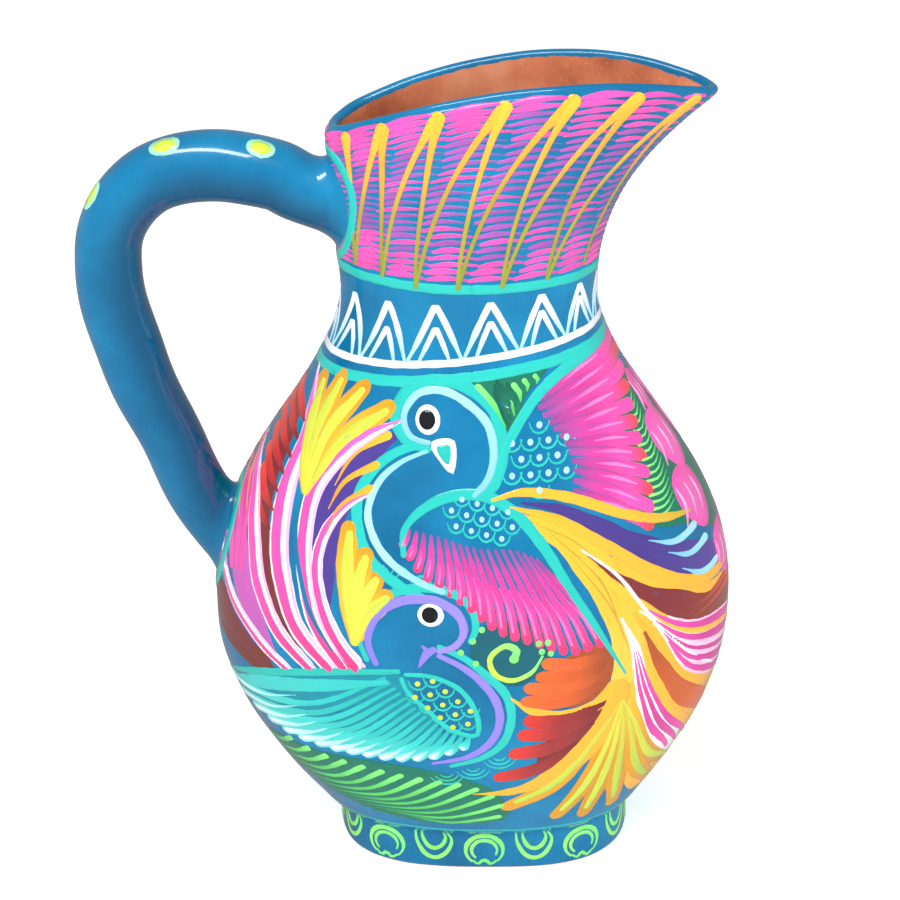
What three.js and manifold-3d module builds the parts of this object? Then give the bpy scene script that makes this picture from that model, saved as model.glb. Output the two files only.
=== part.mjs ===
// An earthenware water jug: a flattened belly on an oval foot, a neck that flares into a long
// spouted mouth, and one thick loop handle. Millimetres. +Z is up, +X the spout, -X the handle and
// -Y the front. The origin is the centre of the foot's underside, on the table.
//
// It is built as the potter builds it. Two pressed halves meet on the upright seam y = 0, an oval
// foot ring carries them, a floor slab closes the ring, and the rolled handle is stuck on through a
// collar of soft clay at each end.

import * as THREE from 'three';
import { mergeVertices } from 'three/addons/utils/BufferGeometryUtils.js';
import Module from 'manifold-3d';

const wasm = await Module();
wasm.setup();

// Foot: a rounded oblong in plan.
const FOOT_WIDTH = 103.4;
const FOOT_DEPTH = 87.0;
const FOOT_HEIGHT = 16.5;
const FOOT_WALL = 7.0;
const FOOT_EDGE_RADIUS = 2.5;
const FOOT_ROUNDNESS = 0.7;
const FLOOR_THICKNESS = 7.0;

// Belly: an oval in plan, widest at BELLY_LEVEL. Its floor stands a little proud of the foot.
const BELLY_WIDTH = 181.2;
const BELLY_DEPTH = 141.2;
const BELLY_LEVEL = 86.0;
const BELLY_OFFSET = -4.5;
const BELLY_FLOOR_OFFSET = -1.1;
const OVERHANG_WIDTH = 5.7;
const OVERHANG_DEPTH = 3.0;
const BELLY_FLOOR_ROUNDNESS = 0.82;
const SHOULDER_FULLNESS = 1.27;

// Neck: the narrowest level.
const NECK_LEVEL = 206.0;
const NECK_WIDTH = 87.4;
const NECK_DEPTH = 64.0;
const NECK_OFFSET = -4.9;

// Mouth: an oval in plan, narrower at the spout and blunt at the back, which reaches past the neck at
// both ends. Its rim arches up from both ends to a crown nearer the spout. The rises are above the
// neck.
const MOUTH_BACK_REACH = 5.4;
const MOUTH_SPOUT_REACH = 38.8;
const MOUTH_DEPTH = 50.0;
const RIM_BACK_RISE = 53.8;
const RIM_CROWN_RISE = 72.5;
const RIM_SPOUT_RISE = 66.5;
const RIM_CROWN_SHIFT = 24.2;
const SPOUT_FLARE = 2.3;
const SPOUT_POINT = 1.15;
const BACK_POINT = 0.82;

// Walls and the clearance between pieces that touch.
const WALL = 5.0;
const GAP = 0.3;

// Handle: a rolled coil, thicker at its crest than at its lower arm. Its top joint is set above the
// neck and its low joint above the widest belly; the crest is above the top joint, the bend above
// the neck, and the reach is beyond the neck's edge.
const HANDLE_TOP_RISE = 31.0;
const HANDLE_LOW_RISE = 31.0;
const HANDLE_CREST_RISE = 9.2;
const HANDLE_BEND_RISE = 3.0;
const HANDLE_REACH = 78.0;
const HANDLE_ARM_BOW = 4.2;
const HANDLE_TOP_THICKNESS = 24.6;
const HANDLE_LOW_THICKNESS = 22.4;

// The handle's line. Climb and turn: shares of the reach, and of the height to the crest or down to
// the bend. Arm: shares of its length, and of its bow.
const HANDLE_CLIMB = [[0.24, 0.66], [0.5, 1]];
const HANDLE_TURN = [[0.79, 0.12], [0.97, 0.57], [1, 1]];
const HANDLE_ARM = [[0.35, 1], [0.7, 0.6], [1, 0]];

// Collars: clay smoothed from the handle on to the body.
const COLLAR_LENGTH = 13.0;
const COLLAR_EDGE = 0.8;
const UPPER_COLLAR_FLARE = 6.0;
const LOWER_COLLAR_FLARE = 3.5;
const COLLAR_SWEEP = 26.0;
const COLLAR_START = -0.6;

// Fineness of the faceted solids.
const BODY_SEGMENTS = 56;
const BELLY_LEVELS = 20;
const NECK_LEVELS = 9;
const LIP_STEPS = 5;
const FOOT_STEPS = 4;
const HANDLE_SEGMENTS = 16;
const HANDLE_STEPS = 34;
const COLLAR_SEGMENTS = 24;
const COLLAR_STEPS = 10;

const WELD = 1e-4;
const BEYOND = 12.0;

// Levels and edges that follow from the sizes above.
const BELLY_FLOOR_WIDTH = FOOT_WIDTH + 2 * OVERHANG_WIDTH;
const BELLY_FLOOR_DEPTH = FOOT_DEPTH + 2 * OVERHANG_DEPTH;
const NECK_BACK_EDGE = NECK_OFFSET - NECK_WIDTH / 2;
const NECK_SPOUT_EDGE = NECK_OFFSET + NECK_WIDTH / 2;
const MOUTH_BACK_EDGE = NECK_BACK_EDGE - MOUTH_BACK_REACH;
const MOUTH_SPOUT_EDGE = NECK_SPOUT_EDGE + MOUTH_SPOUT_REACH;
const RIM_CROWN_X = (MOUTH_BACK_EDGE + MOUTH_SPOUT_EDGE) / 2 + RIM_CROWN_SHIFT;
const HANDLE_TOP_LEVEL = NECK_LEVEL + HANDLE_TOP_RISE;
const HANDLE_LOW_LEVEL = BELLY_LEVEL + HANDLE_LOW_RISE;
const HANDLE_CREST = HANDLE_TOP_LEVEL + HANDLE_CREST_RISE;
const HANDLE_BEND_LEVEL = NECK_LEVEL + HANDLE_BEND_RISE;
const HANDLE_REACH_X = NECK_BACK_EDGE - HANDLE_REACH;

const lerp = THREE.MathUtils.lerp;

// ---------------------------------------------------------------- solids

// The merged, closed geometry as a manifold solid. Triangles that closed up at a pole are dropped.
function solidOf(geometry) {
  geometry.deleteAttribute('normal');
  geometry.deleteAttribute('uv');
  const merged = mergeVertices(geometry, WELD);
  const index = merged.index.array;
  const triVerts = [];
  for (let i = 0; i < index.length; i += 3) {
    const [a, b, c] = [index[i], index[i + 1], index[i + 2]];
    if (a !== b && b !== c && c !== a) triVerts.push(a, b, c);
  }
  const vertProperties = new Float32Array(merged.attributes.position.array);
  return new wasm.Manifold(new wasm.Mesh({
    numProp: 3,
    vertProperties,
    triVerts: new Uint32Array(triVerts),
  }));
}

// A named mesh of a manifold solid.
function meshOf(name, solid, material) {
  const { vertProperties, triVerts } = solid.getMesh();
  const geometry = new THREE.BufferGeometry();
  geometry.setAttribute('position', new THREE.BufferAttribute(vertProperties, 3));
  geometry.setIndex(new THREE.BufferAttribute(triVerts, 1));
  geometry.computeVertexNormals();
  const mesh = new THREE.Mesh(geometry, material);
  mesh.name = name;
  return mesh;
}

// A closed solid of stacked rings: a unit lathe, one ring per level, whose vertices are moved to
// place(level, angle). Each end is closed to the middle of its own ring.
function loft(levels, segments, place) {
  const profile = [new THREE.Vector2(0, 0)];
  levels.forEach((_, i) => profile.push(new THREE.Vector2(1, i)));
  profile.push(new THREE.Vector2(0, levels.length - 1));
  const geometry = new THREE.LatheGeometry(profile, segments);
  const position = geometry.attributes.position;
  for (let k = 0; k < position.count; k += 1) {
    const level = levels[Math.round(position.getY(k))];
    const onAxis = Math.hypot(position.getX(k), position.getZ(k)) < 0.5;
    const angle = Math.atan2(position.getX(k), position.getZ(k));
    const point = onAxis
      ? place(level, 0).add(place(level, Math.PI)).multiplyScalar(0.5)
      : place(level, angle);
    position.setXYZ(k, point.x, point.y, point.z);
  }
  return solidOf(geometry);
}

// A box from its lowest corner to its highest.
function boxSolid(low, high) {
  const size = new THREE.Vector3().subVectors(high, low);
  const middle = new THREE.Vector3().addVectors(low, high).multiplyScalar(0.5);
  const geometry = new THREE.BoxGeometry(size.x, size.y, size.z);
  geometry.translate(middle.x, middle.y, middle.z);
  return solidOf(geometry);
}

// ---------------------------------------------------------------- the body's outer form

// Signed power, which squares up or points an oval.
function bend(value, power) {
  return Math.sign(value) * Math.abs(value) ** power;
}

// Height of the mouth's rim above the neck at x.
function rimRise(x) {
  const toSpout = x > RIM_CROWN_X;
  const edge = toSpout ? MOUTH_SPOUT_EDGE : MOUTH_BACK_EDGE;
  const rise = toSpout ? RIM_SPOUT_RISE : RIM_BACK_RISE;
  const share = (x - RIM_CROWN_X) / (edge - RIM_CROWN_X);
  return lerp(RIM_CROWN_RISE, rise, share * share);
}

// How far the shoulder has closed in from the belly, 1, to the neck, 0.
function shoulderShare(z) {
  const climb = (z - BELLY_LEVEL) / (NECK_LEVEL - BELLY_LEVEL);
  return 0.5 * (1 + Math.cos(Math.PI * climb ** SHOULDER_FULLNESS));
}

// The oval at height z between the foot and the neck: its two ends along X, its depth along Y and
// the powers that shape it.
function bellyLevel(z) {
  const middle = BELLY_OFFSET;
  if (z < BELLY_LEVEL) {
    const drop = ((BELLY_LEVEL - z) / (BELLY_LEVEL - FOOT_HEIGHT)) ** 2;
    const half = lerp(BELLY_WIDTH, BELLY_FLOOR_WIDTH, drop) / 2;
    const centre = lerp(middle, BELLY_FLOOR_OFFSET, drop);
    const power = lerp(1, BELLY_FLOOR_ROUNDNESS, drop * drop);
    return {
      left: centre - half,
      right: centre + half,
      depth: lerp(BELLY_DEPTH, BELLY_FLOOR_DEPTH, drop),
      z,
      climb: 0,
      across: power,
      spout: power,
      back: power,
    };
  }
  const share = shoulderShare(z);
  return {
    left: lerp(NECK_BACK_EDGE, middle - BELLY_WIDTH / 2, share),
    right: lerp(NECK_SPOUT_EDGE, middle + BELLY_WIDTH / 2, share),
    depth: lerp(NECK_DEPTH, BELLY_DEPTH, share),
    z,
    climb: 0,
    across: 1,
    spout: 1,
    back: 1,
  };
}

// The level a share t of the way from the neck to the mouth's rim.
function neckLevel(t) {
  return {
    left: lerp(NECK_BACK_EDGE, MOUTH_BACK_EDGE, t),
    right: lerp(NECK_SPOUT_EDGE, MOUTH_SPOUT_EDGE, t ** SPOUT_FLARE),
    depth: lerp(NECK_DEPTH, MOUTH_DEPTH, THREE.MathUtils.smoothstep(t, 0, 1)),
    z: NECK_LEVEL,
    climb: t,
    across: 1,
    spout: lerp(1, SPOUT_POINT, t * t),
    back: lerp(1, BACK_POINT, t * t),
  };
}

// A point of a level grown outwards by grow and lifted by lift.
function levelPoint(level, angle) {
  const { grow = 0, lift = 0 } = level;
  const cos = Math.cos(angle);
  const sin = Math.sin(angle);
  const centre = (level.left + level.right) / 2;
  const half = (level.right - level.left) / 2 + grow;
  const rimX = lerp(MOUTH_BACK_EDGE, MOUTH_SPOUT_EDGE, 0.5 + 0.5 * cos);
  const z = level.z + level.climb * rimRise(rimX) + lift;
  const point = cos > 0 ? level.spout : level.back;
  return new THREE.Vector3(
    centre + half * bend(cos, level.across),
    (level.depth / 2 + grow) * bend(sin, point),
    z,
  );
}

// How much further apart the walls are along X than square to the wall, at height z of the belly.
function slopeFactor(z) {
  const step = 0.5;
  const slope = (bellyLevel(z + step).right - bellyLevel(z - step).right) / (2 * step);
  return Math.hypot(1, slope);
}

// The outer levels from the belly's floor to the rim, moved outwards by offset, which is square to
// the wall.
function bodyLevels(offset) {
  const levels = [];
  for (let i = 0; i < BELLY_LEVELS; i += 1) {
    const z = lerp(FOOT_HEIGHT, NECK_LEVEL, i / BELLY_LEVELS);
    levels.push({ ...bellyLevel(z), grow: offset * slopeFactor(Math.max(z, FOOT_HEIGHT + 1)) });
  }
  for (let i = 0; i <= NECK_LEVELS; i += 1) {
    levels.push({ ...neckLevel(i / NECK_LEVELS), grow: offset });
  }
  return levels;
}

// The body as one solid lump with a rounded lip, offset outwards.
function bodyLump(offset) {
  const levels = bodyLevels(offset);
  const lip = WALL / 2;
  for (let i = 1; i <= LIP_STEPS; i += 1) {
    const turn = (Math.PI * i) / LIP_STEPS;
    levels.push({
      ...neckLevel(1),
      grow: offset - lip * (1 - Math.cos(turn)),
      lift: lip * Math.sin(turn),
    });
  }
  return loft(levels, BODY_SEGMENTS, levelPoint);
}

// The space inside the body, open past the rim.
function bodyHollow() {
  const levels = bodyLevels(-WALL).filter((level) => level.z > FOOT_HEIGHT + WALL);
  levels.unshift({
    ...bellyLevel(FOOT_HEIGHT + WALL),
    grow: -WALL * slopeFactor(FOOT_HEIGHT + WALL),
  });
  levels.push({ ...neckLevel(1), grow: -WALL, lift: BEYOND });
  return loft(levels, BODY_SEGMENTS, levelPoint);
}

// ---------------------------------------------------------------- foot and floor

// The foot's outline, brought in by inset, at height z.
function footLevel(z, inset) {
  return {
    left: -FOOT_WIDTH / 2,
    right: FOOT_WIDTH / 2,
    depth: FOOT_DEPTH,
    grow: -inset,
    z,
    climb: 0,
    across: FOOT_ROUNDNESS,
    spout: FOOT_ROUNDNESS,
    back: FOOT_ROUNDNESS,
  };
}

// A straight-sided solid on the foot's outline.
function footPrism(low, high, inset) {
  return loft([footLevel(low, inset), footLevel(high, inset)], BODY_SEGMENTS, levelPoint);
}

function footRing() {
  const levels = [];
  for (let i = 0; i <= FOOT_STEPS; i += 1) {
    const turn = (Math.PI / 2) * (i / FOOT_STEPS);
    const z = FOOT_EDGE_RADIUS * (1 - Math.sin(turn));
    const inset = FOOT_EDGE_RADIUS * (1 - Math.cos(turn));
    levels.unshift(footLevel(z, inset));
  }
  levels.push(footLevel(FOOT_HEIGHT - GAP, 0));
  const outside = loft(levels, BODY_SEGMENTS, levelPoint);
  return outside.subtract(footPrism(-BEYOND, FOOT_HEIGHT + BEYOND, FOOT_WALL));
}

function floorSlab() {
  return footPrism(0, FLOOR_THICKNESS, FOOT_WALL + GAP);
}

// ---------------------------------------------------------------- the two halves

// The hollow body with its throat open down into the foot ring.
function wholeBody() {
  const throat = footPrism(FOOT_HEIGHT - BEYOND, FOOT_HEIGHT + BEYOND, FOOT_WALL);
  return bodyLump(0).subtract(bodyHollow()).subtract(throat);
}

// One half of the body: side -1 is the front, 1 the back.
function halfBody(side) {
  const reach = BELLY_WIDTH + MOUTH_SPOUT_REACH;
  const top = NECK_LEVEL + RIM_CROWN_RISE + BEYOND;
  const near = (side * GAP) / 2;
  const far = side * reach;
  const low = new THREE.Vector3(-reach, Math.min(near, far), 0);
  const high = new THREE.Vector3(reach, Math.max(near, far), top);
  return wholeBody().intersect(boxSolid(low, high));
}

// ---------------------------------------------------------------- handle and collars

// The body's handle-side edge at a height, on the neck or on the belly.
function handleEdge(z) {
  if (z < NECK_LEVEL) return bellyLevel(z).left;
  const t = (z - NECK_LEVEL) / RIM_BACK_RISE;
  return neckLevel(t).left;
}

// The handle's centre line, from inside the neck wall to inside the belly wall.
function handlePath() {
  const neckX = handleEdge(HANDLE_TOP_LEVEL);
  const bellyX = handleEdge(HANDLE_LOW_LEVEL);
  const armX = bellyX - WALL;
  const armZ = HANDLE_LOW_LEVEL + WALL;
  const points = [
    [neckX + 2 * WALL, HANDLE_TOP_LEVEL - WALL],
    [neckX - 2 * WALL, HANDLE_TOP_LEVEL + WALL / 3],
  ];
  for (const [out, up] of HANDLE_CLIMB) {
    points.push([lerp(neckX, HANDLE_REACH_X, out), lerp(HANDLE_TOP_LEVEL, HANDLE_CREST, up)]);
  }
  for (const [out, down] of HANDLE_TURN) {
    points.push([lerp(neckX, HANDLE_REACH_X, out), lerp(HANDLE_CREST, HANDLE_BEND_LEVEL, down)]);
  }
  for (const [along, bow] of HANDLE_ARM) {
    points.push([
      lerp(HANDLE_REACH_X, armX, along) - bow * HANDLE_ARM_BOW,
      lerp(HANDLE_BEND_LEVEL, armZ, along),
    ]);
  }
  points.push([bellyX + 2 * WALL, HANDLE_LOW_LEVEL - 3 * WALL]);
  return new THREE.CatmullRomCurve3(points.map(([x, z]) => new THREE.Vector3(x, 0, z)));
}

const handleCurve = handlePath();

// A round ring of the handle at a share of its length, grown by grow.
function handlePoint(level, angle) {
  const centre = handleCurve.getPointAt(level.share);
  const along = handleCurve.getTangentAt(level.share);
  const across = new THREE.Vector3(0, 1, 0);
  const outward = new THREE.Vector3().crossVectors(across, along);
  const thickness = lerp(HANDLE_TOP_THICKNESS, HANDLE_LOW_THICKNESS, level.share);
  const radius = thickness / 2 + level.grow;
  return centre
    .addScaledVector(outward, radius * Math.cos(angle))
    .addScaledVector(across, radius * Math.sin(angle));
}

function handleLump(grow) {
  const levels = [];
  for (let i = 0; i <= HANDLE_STEPS; i += 1) levels.push({ share: i / HANDLE_STEPS, grow });
  return loft(levels, HANDLE_SEGMENTS, handlePoint);
}

const clearOfBody = bodyLump(GAP);
const clearOfHandle = handleLump(GAP);

// The share of the handle's length at which it comes out of the body, from either end.
function wallShare(fromTop) {
  const step = 1 / 400;
  let share = fromTop ? 0 : 1;
  const inside = () => {
    const point = handleCurve.getPointAt(share);
    return point.x > handleEdge(point.z);
  };
  while (inside()) share += fromTop ? step : -step;
  return share;
}

// A point of a collar's skin: it flares out towards the wall and follows the handle further off.
function collarPoint(level, angle) {
  const onHandle = handlePoint({ share: level.share, grow: 0 }, angle);
  const distance = Math.max(handleEdge(onHandle.z) - onHandle.x, 0);
  const fade = Math.max(1 - distance / COLLAR_LENGTH, 0) ** 2;
  const grow = GAP + COLLAR_EDGE + level.flare * fade;
  return handlePoint({ share: level.share, grow }, angle);
}

// The clay around one end of the handle, which stops COLLAR_LENGTH from the wall.
function collar(fromTop, flare) {
  const start = wallShare(fromTop);
  const reach = COLLAR_SWEEP / handleCurve.getLength();
  const way = fromTop ? 1 : -1;
  const levels = [];
  for (let i = 0; i <= COLLAR_STEPS; i += 1) {
    const t = lerp(COLLAR_START, 1, i / COLLAR_STEPS);
    const share = THREE.MathUtils.clamp(start + way * t * reach, 0, 1);
    levels.push({ share, flare });
  }
  if (!fromTop) levels.reverse();
  return loft(levels, COLLAR_SEGMENTS, collarPoint)
    .intersect(bodyLump(COLLAR_LENGTH))
    .subtract(clearOfHandle)
    .subtract(clearOfBody);
}

// ---------------------------------------------------------------- assembly

const paintedClay = new THREE.MeshStandardMaterial({ color: 0x1a80b0, roughness: 0.18 });
const bareClay = new THREE.MeshStandardMaterial({ color: 0xb4633f, roughness: 0.8 });

const jug = new THREE.Group();
jug.name = 'clay_jug';
jug.add(meshOf('front_half', halfBody(-1), paintedClay));
jug.add(meshOf('back_half', halfBody(1), paintedClay));
jug.add(meshOf('foot_ring', footRing(), paintedClay));
jug.add(meshOf('floor_slab', floorSlab(), bareClay));
jug.add(meshOf('handle', handleLump(0).subtract(clearOfBody), paintedClay));
jug.add(meshOf('upper_collar', collar(true, UPPER_COLLAR_FLARE), paintedClay));
jug.add(meshOf('lower_collar', collar(false, LOWER_COLLAR_FLARE), paintedClay));

export default jug;
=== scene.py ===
"""A hand-painted, varnished clay water jug: its looks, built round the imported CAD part.

Lengths are millimetres until a mesh is made. +Z is up, the spout points along +X, the handle is on
-X and the painted front faces -Y. A place on the body is (turn, rise). Turn is degrees round it: 0
at the middle of the front, 90 at the spout, 180 at the back, -90 at the handle. Rise is the height
up to the neck, and above it the height on the tallest part of the rim.
"""

import math

import bpy
import numpy as np
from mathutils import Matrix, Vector


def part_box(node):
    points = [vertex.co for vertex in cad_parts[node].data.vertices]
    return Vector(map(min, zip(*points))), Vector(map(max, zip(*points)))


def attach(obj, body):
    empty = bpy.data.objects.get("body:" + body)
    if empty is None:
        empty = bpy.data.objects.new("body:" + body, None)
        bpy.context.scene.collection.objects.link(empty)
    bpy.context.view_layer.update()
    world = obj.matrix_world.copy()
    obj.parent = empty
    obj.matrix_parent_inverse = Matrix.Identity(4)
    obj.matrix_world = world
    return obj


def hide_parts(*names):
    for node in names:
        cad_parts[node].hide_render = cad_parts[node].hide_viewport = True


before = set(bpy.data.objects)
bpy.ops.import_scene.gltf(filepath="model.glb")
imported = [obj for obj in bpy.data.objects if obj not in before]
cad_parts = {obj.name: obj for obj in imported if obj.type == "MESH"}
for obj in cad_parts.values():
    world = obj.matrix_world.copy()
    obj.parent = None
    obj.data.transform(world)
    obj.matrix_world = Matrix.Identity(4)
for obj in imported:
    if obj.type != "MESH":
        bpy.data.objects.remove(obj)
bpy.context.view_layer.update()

MM = 0.001
RNG = np.random.default_rng(11)


# ---------------------------------------------------------------- sizes from the frame


def node_box(name):
    """Lowest and highest corner of a CAD node in millimetres."""
    low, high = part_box(name)
    return np.array(low) / MM, np.array(high) / MM


FOOT_LOW, FOOT_HIGH = node_box("foot_ring")
SLAB_TOP = node_box("floor_slab")[1][2]

WALL = 5.0
FOOT_TOP = 16.5
BELLY_LEVEL = 86.0
BELLY_LEFT, BELLY_RIGHT = -95.1, 86.1
BELLY_DEPTH = 141.2
FLOOR_CENTRE = -1.1
FLOOR_WIDTH, FLOOR_DEPTH = 114.8, 93.0
FLOOR_ROUNDNESS = 0.82
SHOULDER_FULLNESS = 1.27
NECK_LEVEL = 206.0
NECK_LEFT, NECK_RIGHT = -48.6, 38.8
NECK_DEPTH = 64.0
MOUTH_LEFT, MOUTH_RIGHT = -54.0, 77.6
MOUTH_DEPTH = 50.0
CROWN_X = 36.0
RIM_BACK, RIM_CROWN, RIM_SPOUT = 53.8, 72.5, 66.5
SPOUT_FLARE = 2.3
SPOUT_POINT, BACK_POINT = 1.15, 0.82
RIM_LEVEL = NECK_LEVEL + RIM_CROWN
RIM_BAND = 1.0
LIP_DROP = 3.0
LIP_ROUND = 1.3

FOOT_WIDTH = FOOT_HIGH[0] - FOOT_LOW[0]
FOOT_DEPTH = FOOT_HIGH[1] - FOOT_LOW[1]
FOOT_WALL = 7.0
FOOT_EDGE = 2.5
FOOT_ROUNDNESS = 0.7


# ---------------------------------------------------------------- the body's surface


def mix(a, b, share):
    return a + (b - a) * share


def smooth(share):
    share = np.clip(share, 0, 1)
    return share * share * (3 - 2 * share)


def bend(value, power):
    return np.sign(value) * np.abs(value) ** power


def rim_rise(across):
    """Height of the rim above the neck. Across is -1 at the back of the mouth, 1 at the spout."""
    x = mix(MOUTH_LEFT, MOUTH_RIGHT, 0.5 + 0.5 * across)
    edge = np.where(x > CROWN_X, MOUTH_RIGHT, MOUTH_LEFT)
    rise = np.where(x > CROWN_X, RIM_SPOUT, RIM_BACK)
    return mix(RIM_CROWN, rise, ((x - CROWN_X) / (edge - CROWN_X)) ** 2)


def rise_at(across, z):
    """Rise of the body at height z."""
    above = np.clip(z - NECK_LEVEL, 0, None) / rim_rise(across)
    return np.where(z > NECK_LEVEL, NECK_LEVEL + above * RIM_CROWN, z)


def hand_wobble(turn, rise):
    """How far the thrown and pressed clay stands off its true form."""
    a = np.radians(turn)
    slow = 0.34 * np.sin(3 * a + 0.031 * rise + 0.4) + 0.24 * np.sin(5 * a - 0.047 * rise)
    fast = 0.10 * np.sin(11 * a + 0.11 * rise) + 0.08 * np.sin(17 * a - 0.19 * rise + 2)
    return slow + fast - 0.5


def section(rise):
    """The oval at a rise: centre, half width, half depth, roundness, spout and back points."""
    climb = np.clip((rise - BELLY_LEVEL) / (NECK_LEVEL - BELLY_LEVEL), 0, 1)
    closing = 0.5 * (1 + np.cos(np.pi * climb**SHOULDER_FULLNESS))
    drop = (np.clip(BELLY_LEVEL - rise, 0, None) / (BELLY_LEVEL - FOOT_TOP)) ** 2
    up = np.clip((rise - NECK_LEVEL) / RIM_CROWN, 0, 1)
    low_left = FLOOR_CENTRE - FLOOR_WIDTH / 2
    low_right = FLOOR_CENTRE + FLOOR_WIDTH / 2
    left = mix(NECK_LEFT, BELLY_LEFT, closing)
    left = mix(left, low_left, drop) + (MOUTH_LEFT - NECK_LEFT) * up
    right = mix(NECK_RIGHT, BELLY_RIGHT, closing)
    right = mix(right, low_right, drop) + (MOUTH_RIGHT - NECK_RIGHT) * up**SPOUT_FLARE
    depth = mix(mix(NECK_DEPTH, BELLY_DEPTH, closing), FLOOR_DEPTH, drop)
    depth = depth + (MOUTH_DEPTH - NECK_DEPTH) * smooth(up)
    round_power = mix(1.0, FLOOR_ROUNDNESS, drop * drop)
    spout = np.where(up > 0, mix(1, SPOUT_POINT, up * up), round_power)
    back = np.where(up > 0, mix(1, BACK_POINT, up * up), round_power)
    return (left + right) / 2, (right - left) / 2, depth / 2, round_power, spout, back, up


def body_point(turn, rise, grow=0.0, lift=0.0):
    """The point of the body at (turn, rise), grown outwards and lifted."""
    turn, rise = np.broadcast_arrays(np.asarray(turn, float), np.asarray(rise, float))
    a = np.radians(turn)
    across, ahead = np.sin(a), np.cos(a)
    centre, half, deep, power, spout, back, up = section(rise)
    grow = grow + hand_wobble(turn, rise)
    x = centre + (half + grow) * bend(across, power)
    y = -(deep + grow) * bend(ahead, np.where(across > 0, spout, back))
    z = np.minimum(rise, NECK_LEVEL) + up * rim_rise(across) + lift
    return np.stack([x, y, z], axis=-1)


def skin_point(turn, rise, grow=0.0, lift=0.0):
    """The body's outer face, rounded over just below the rim."""
    near = np.clip((rise - RIM_LEVEL + LIP_DROP) / LIP_DROP, 0, 1)
    return body_point(turn, rise, grow - LIP_ROUND * near**2, lift)


def foot_point(turn, rise, grow=0.0, lift=0.0):
    """The point of the foot ring's side at (turn, height)."""
    turn, rise = np.broadcast_arrays(np.asarray(turn, float), np.asarray(rise, float))
    a = np.radians(turn)
    grow = grow + 0.3 * hand_wobble(turn, rise)
    x = (FOOT_WIDTH / 2 + grow) * bend(np.sin(a), FOOT_ROUNDNESS)
    y = -(FOOT_DEPTH / 2 + grow) * bend(np.cos(a), FOOT_ROUNDNESS)
    return np.stack([x, y, rise + lift], axis=-1)


def where(x, z):
    """(turn, rise) of the point that is seen at (x, z) on the front of the body."""
    x, z = np.asarray(x, float), np.asarray(z, float)
    rise = z.copy()
    for _ in range(12):
        centre, half, _, power = section(rise)[:4]
        across = bend(np.clip((x - centre) / half, -0.9999, 0.9999), 1 / power)
        rise = np.minimum(rise_at(across, z), RIM_LEVEL - RIM_BAND)
    return np.degrees(np.arcsin(across)), rise


# ---------------------------------------------------------------- mesh making


def make_object(name, data):
    """An object of the scene that shows a mesh, a light or a camera."""
    thing = bpy.data.objects.new(name, data)
    bpy.context.scene.collection.objects.link(thing)
    return thing


def make_piece(name, rows, faces, material):
    """A mesh piece of the jug from rows of millimetre points, riding on the part's only body."""
    mesh = bpy.data.meshes.new(name)
    mesh.from_pydata((np.concatenate(rows) * MM).tolist(), [], faces)
    mesh.validate()
    mesh.shade_smooth()
    mesh.materials.append(material)
    piece = make_object(name, mesh)
    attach(piece, "root")
    return piece


def grid_faces(rows, columns, close_rows=False):
    """Quads of a grid of points whose columns, and if wanted its rows, close on themselves."""
    faces = []
    for i in range(rows if close_rows else rows - 1):
        a, b = i * columns, (i + 1) % rows * columns
        for c in range(columns):
            d = (c + 1) % columns
            faces.append((a + c, a + d, b + d, b + c))
    return faces


def set_points(mesh, name, kind, values):
    """A per-vertex attribute of a mesh."""
    attribute = mesh.attributes.new(name, kind, "POINT")
    field = {"FLOAT": "value", "FLOAT_VECTOR": "vector", "FLOAT_COLOR": "color"}[kind]
    attribute.data.foreach_set(field, np.asarray(values, np.float32).ravel())


# ---------------------------------------------------------------- colours and materials


def linear(code):
    """Linear colour of an sRGB hex code."""
    parts = np.array([int(code[i : i + 2], 16) / 255 for i in (0, 2, 4)])
    return np.where(parts > 0.04045, ((parts + 0.055) / 1.055) ** 2.4, parts / 12.92)


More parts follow.
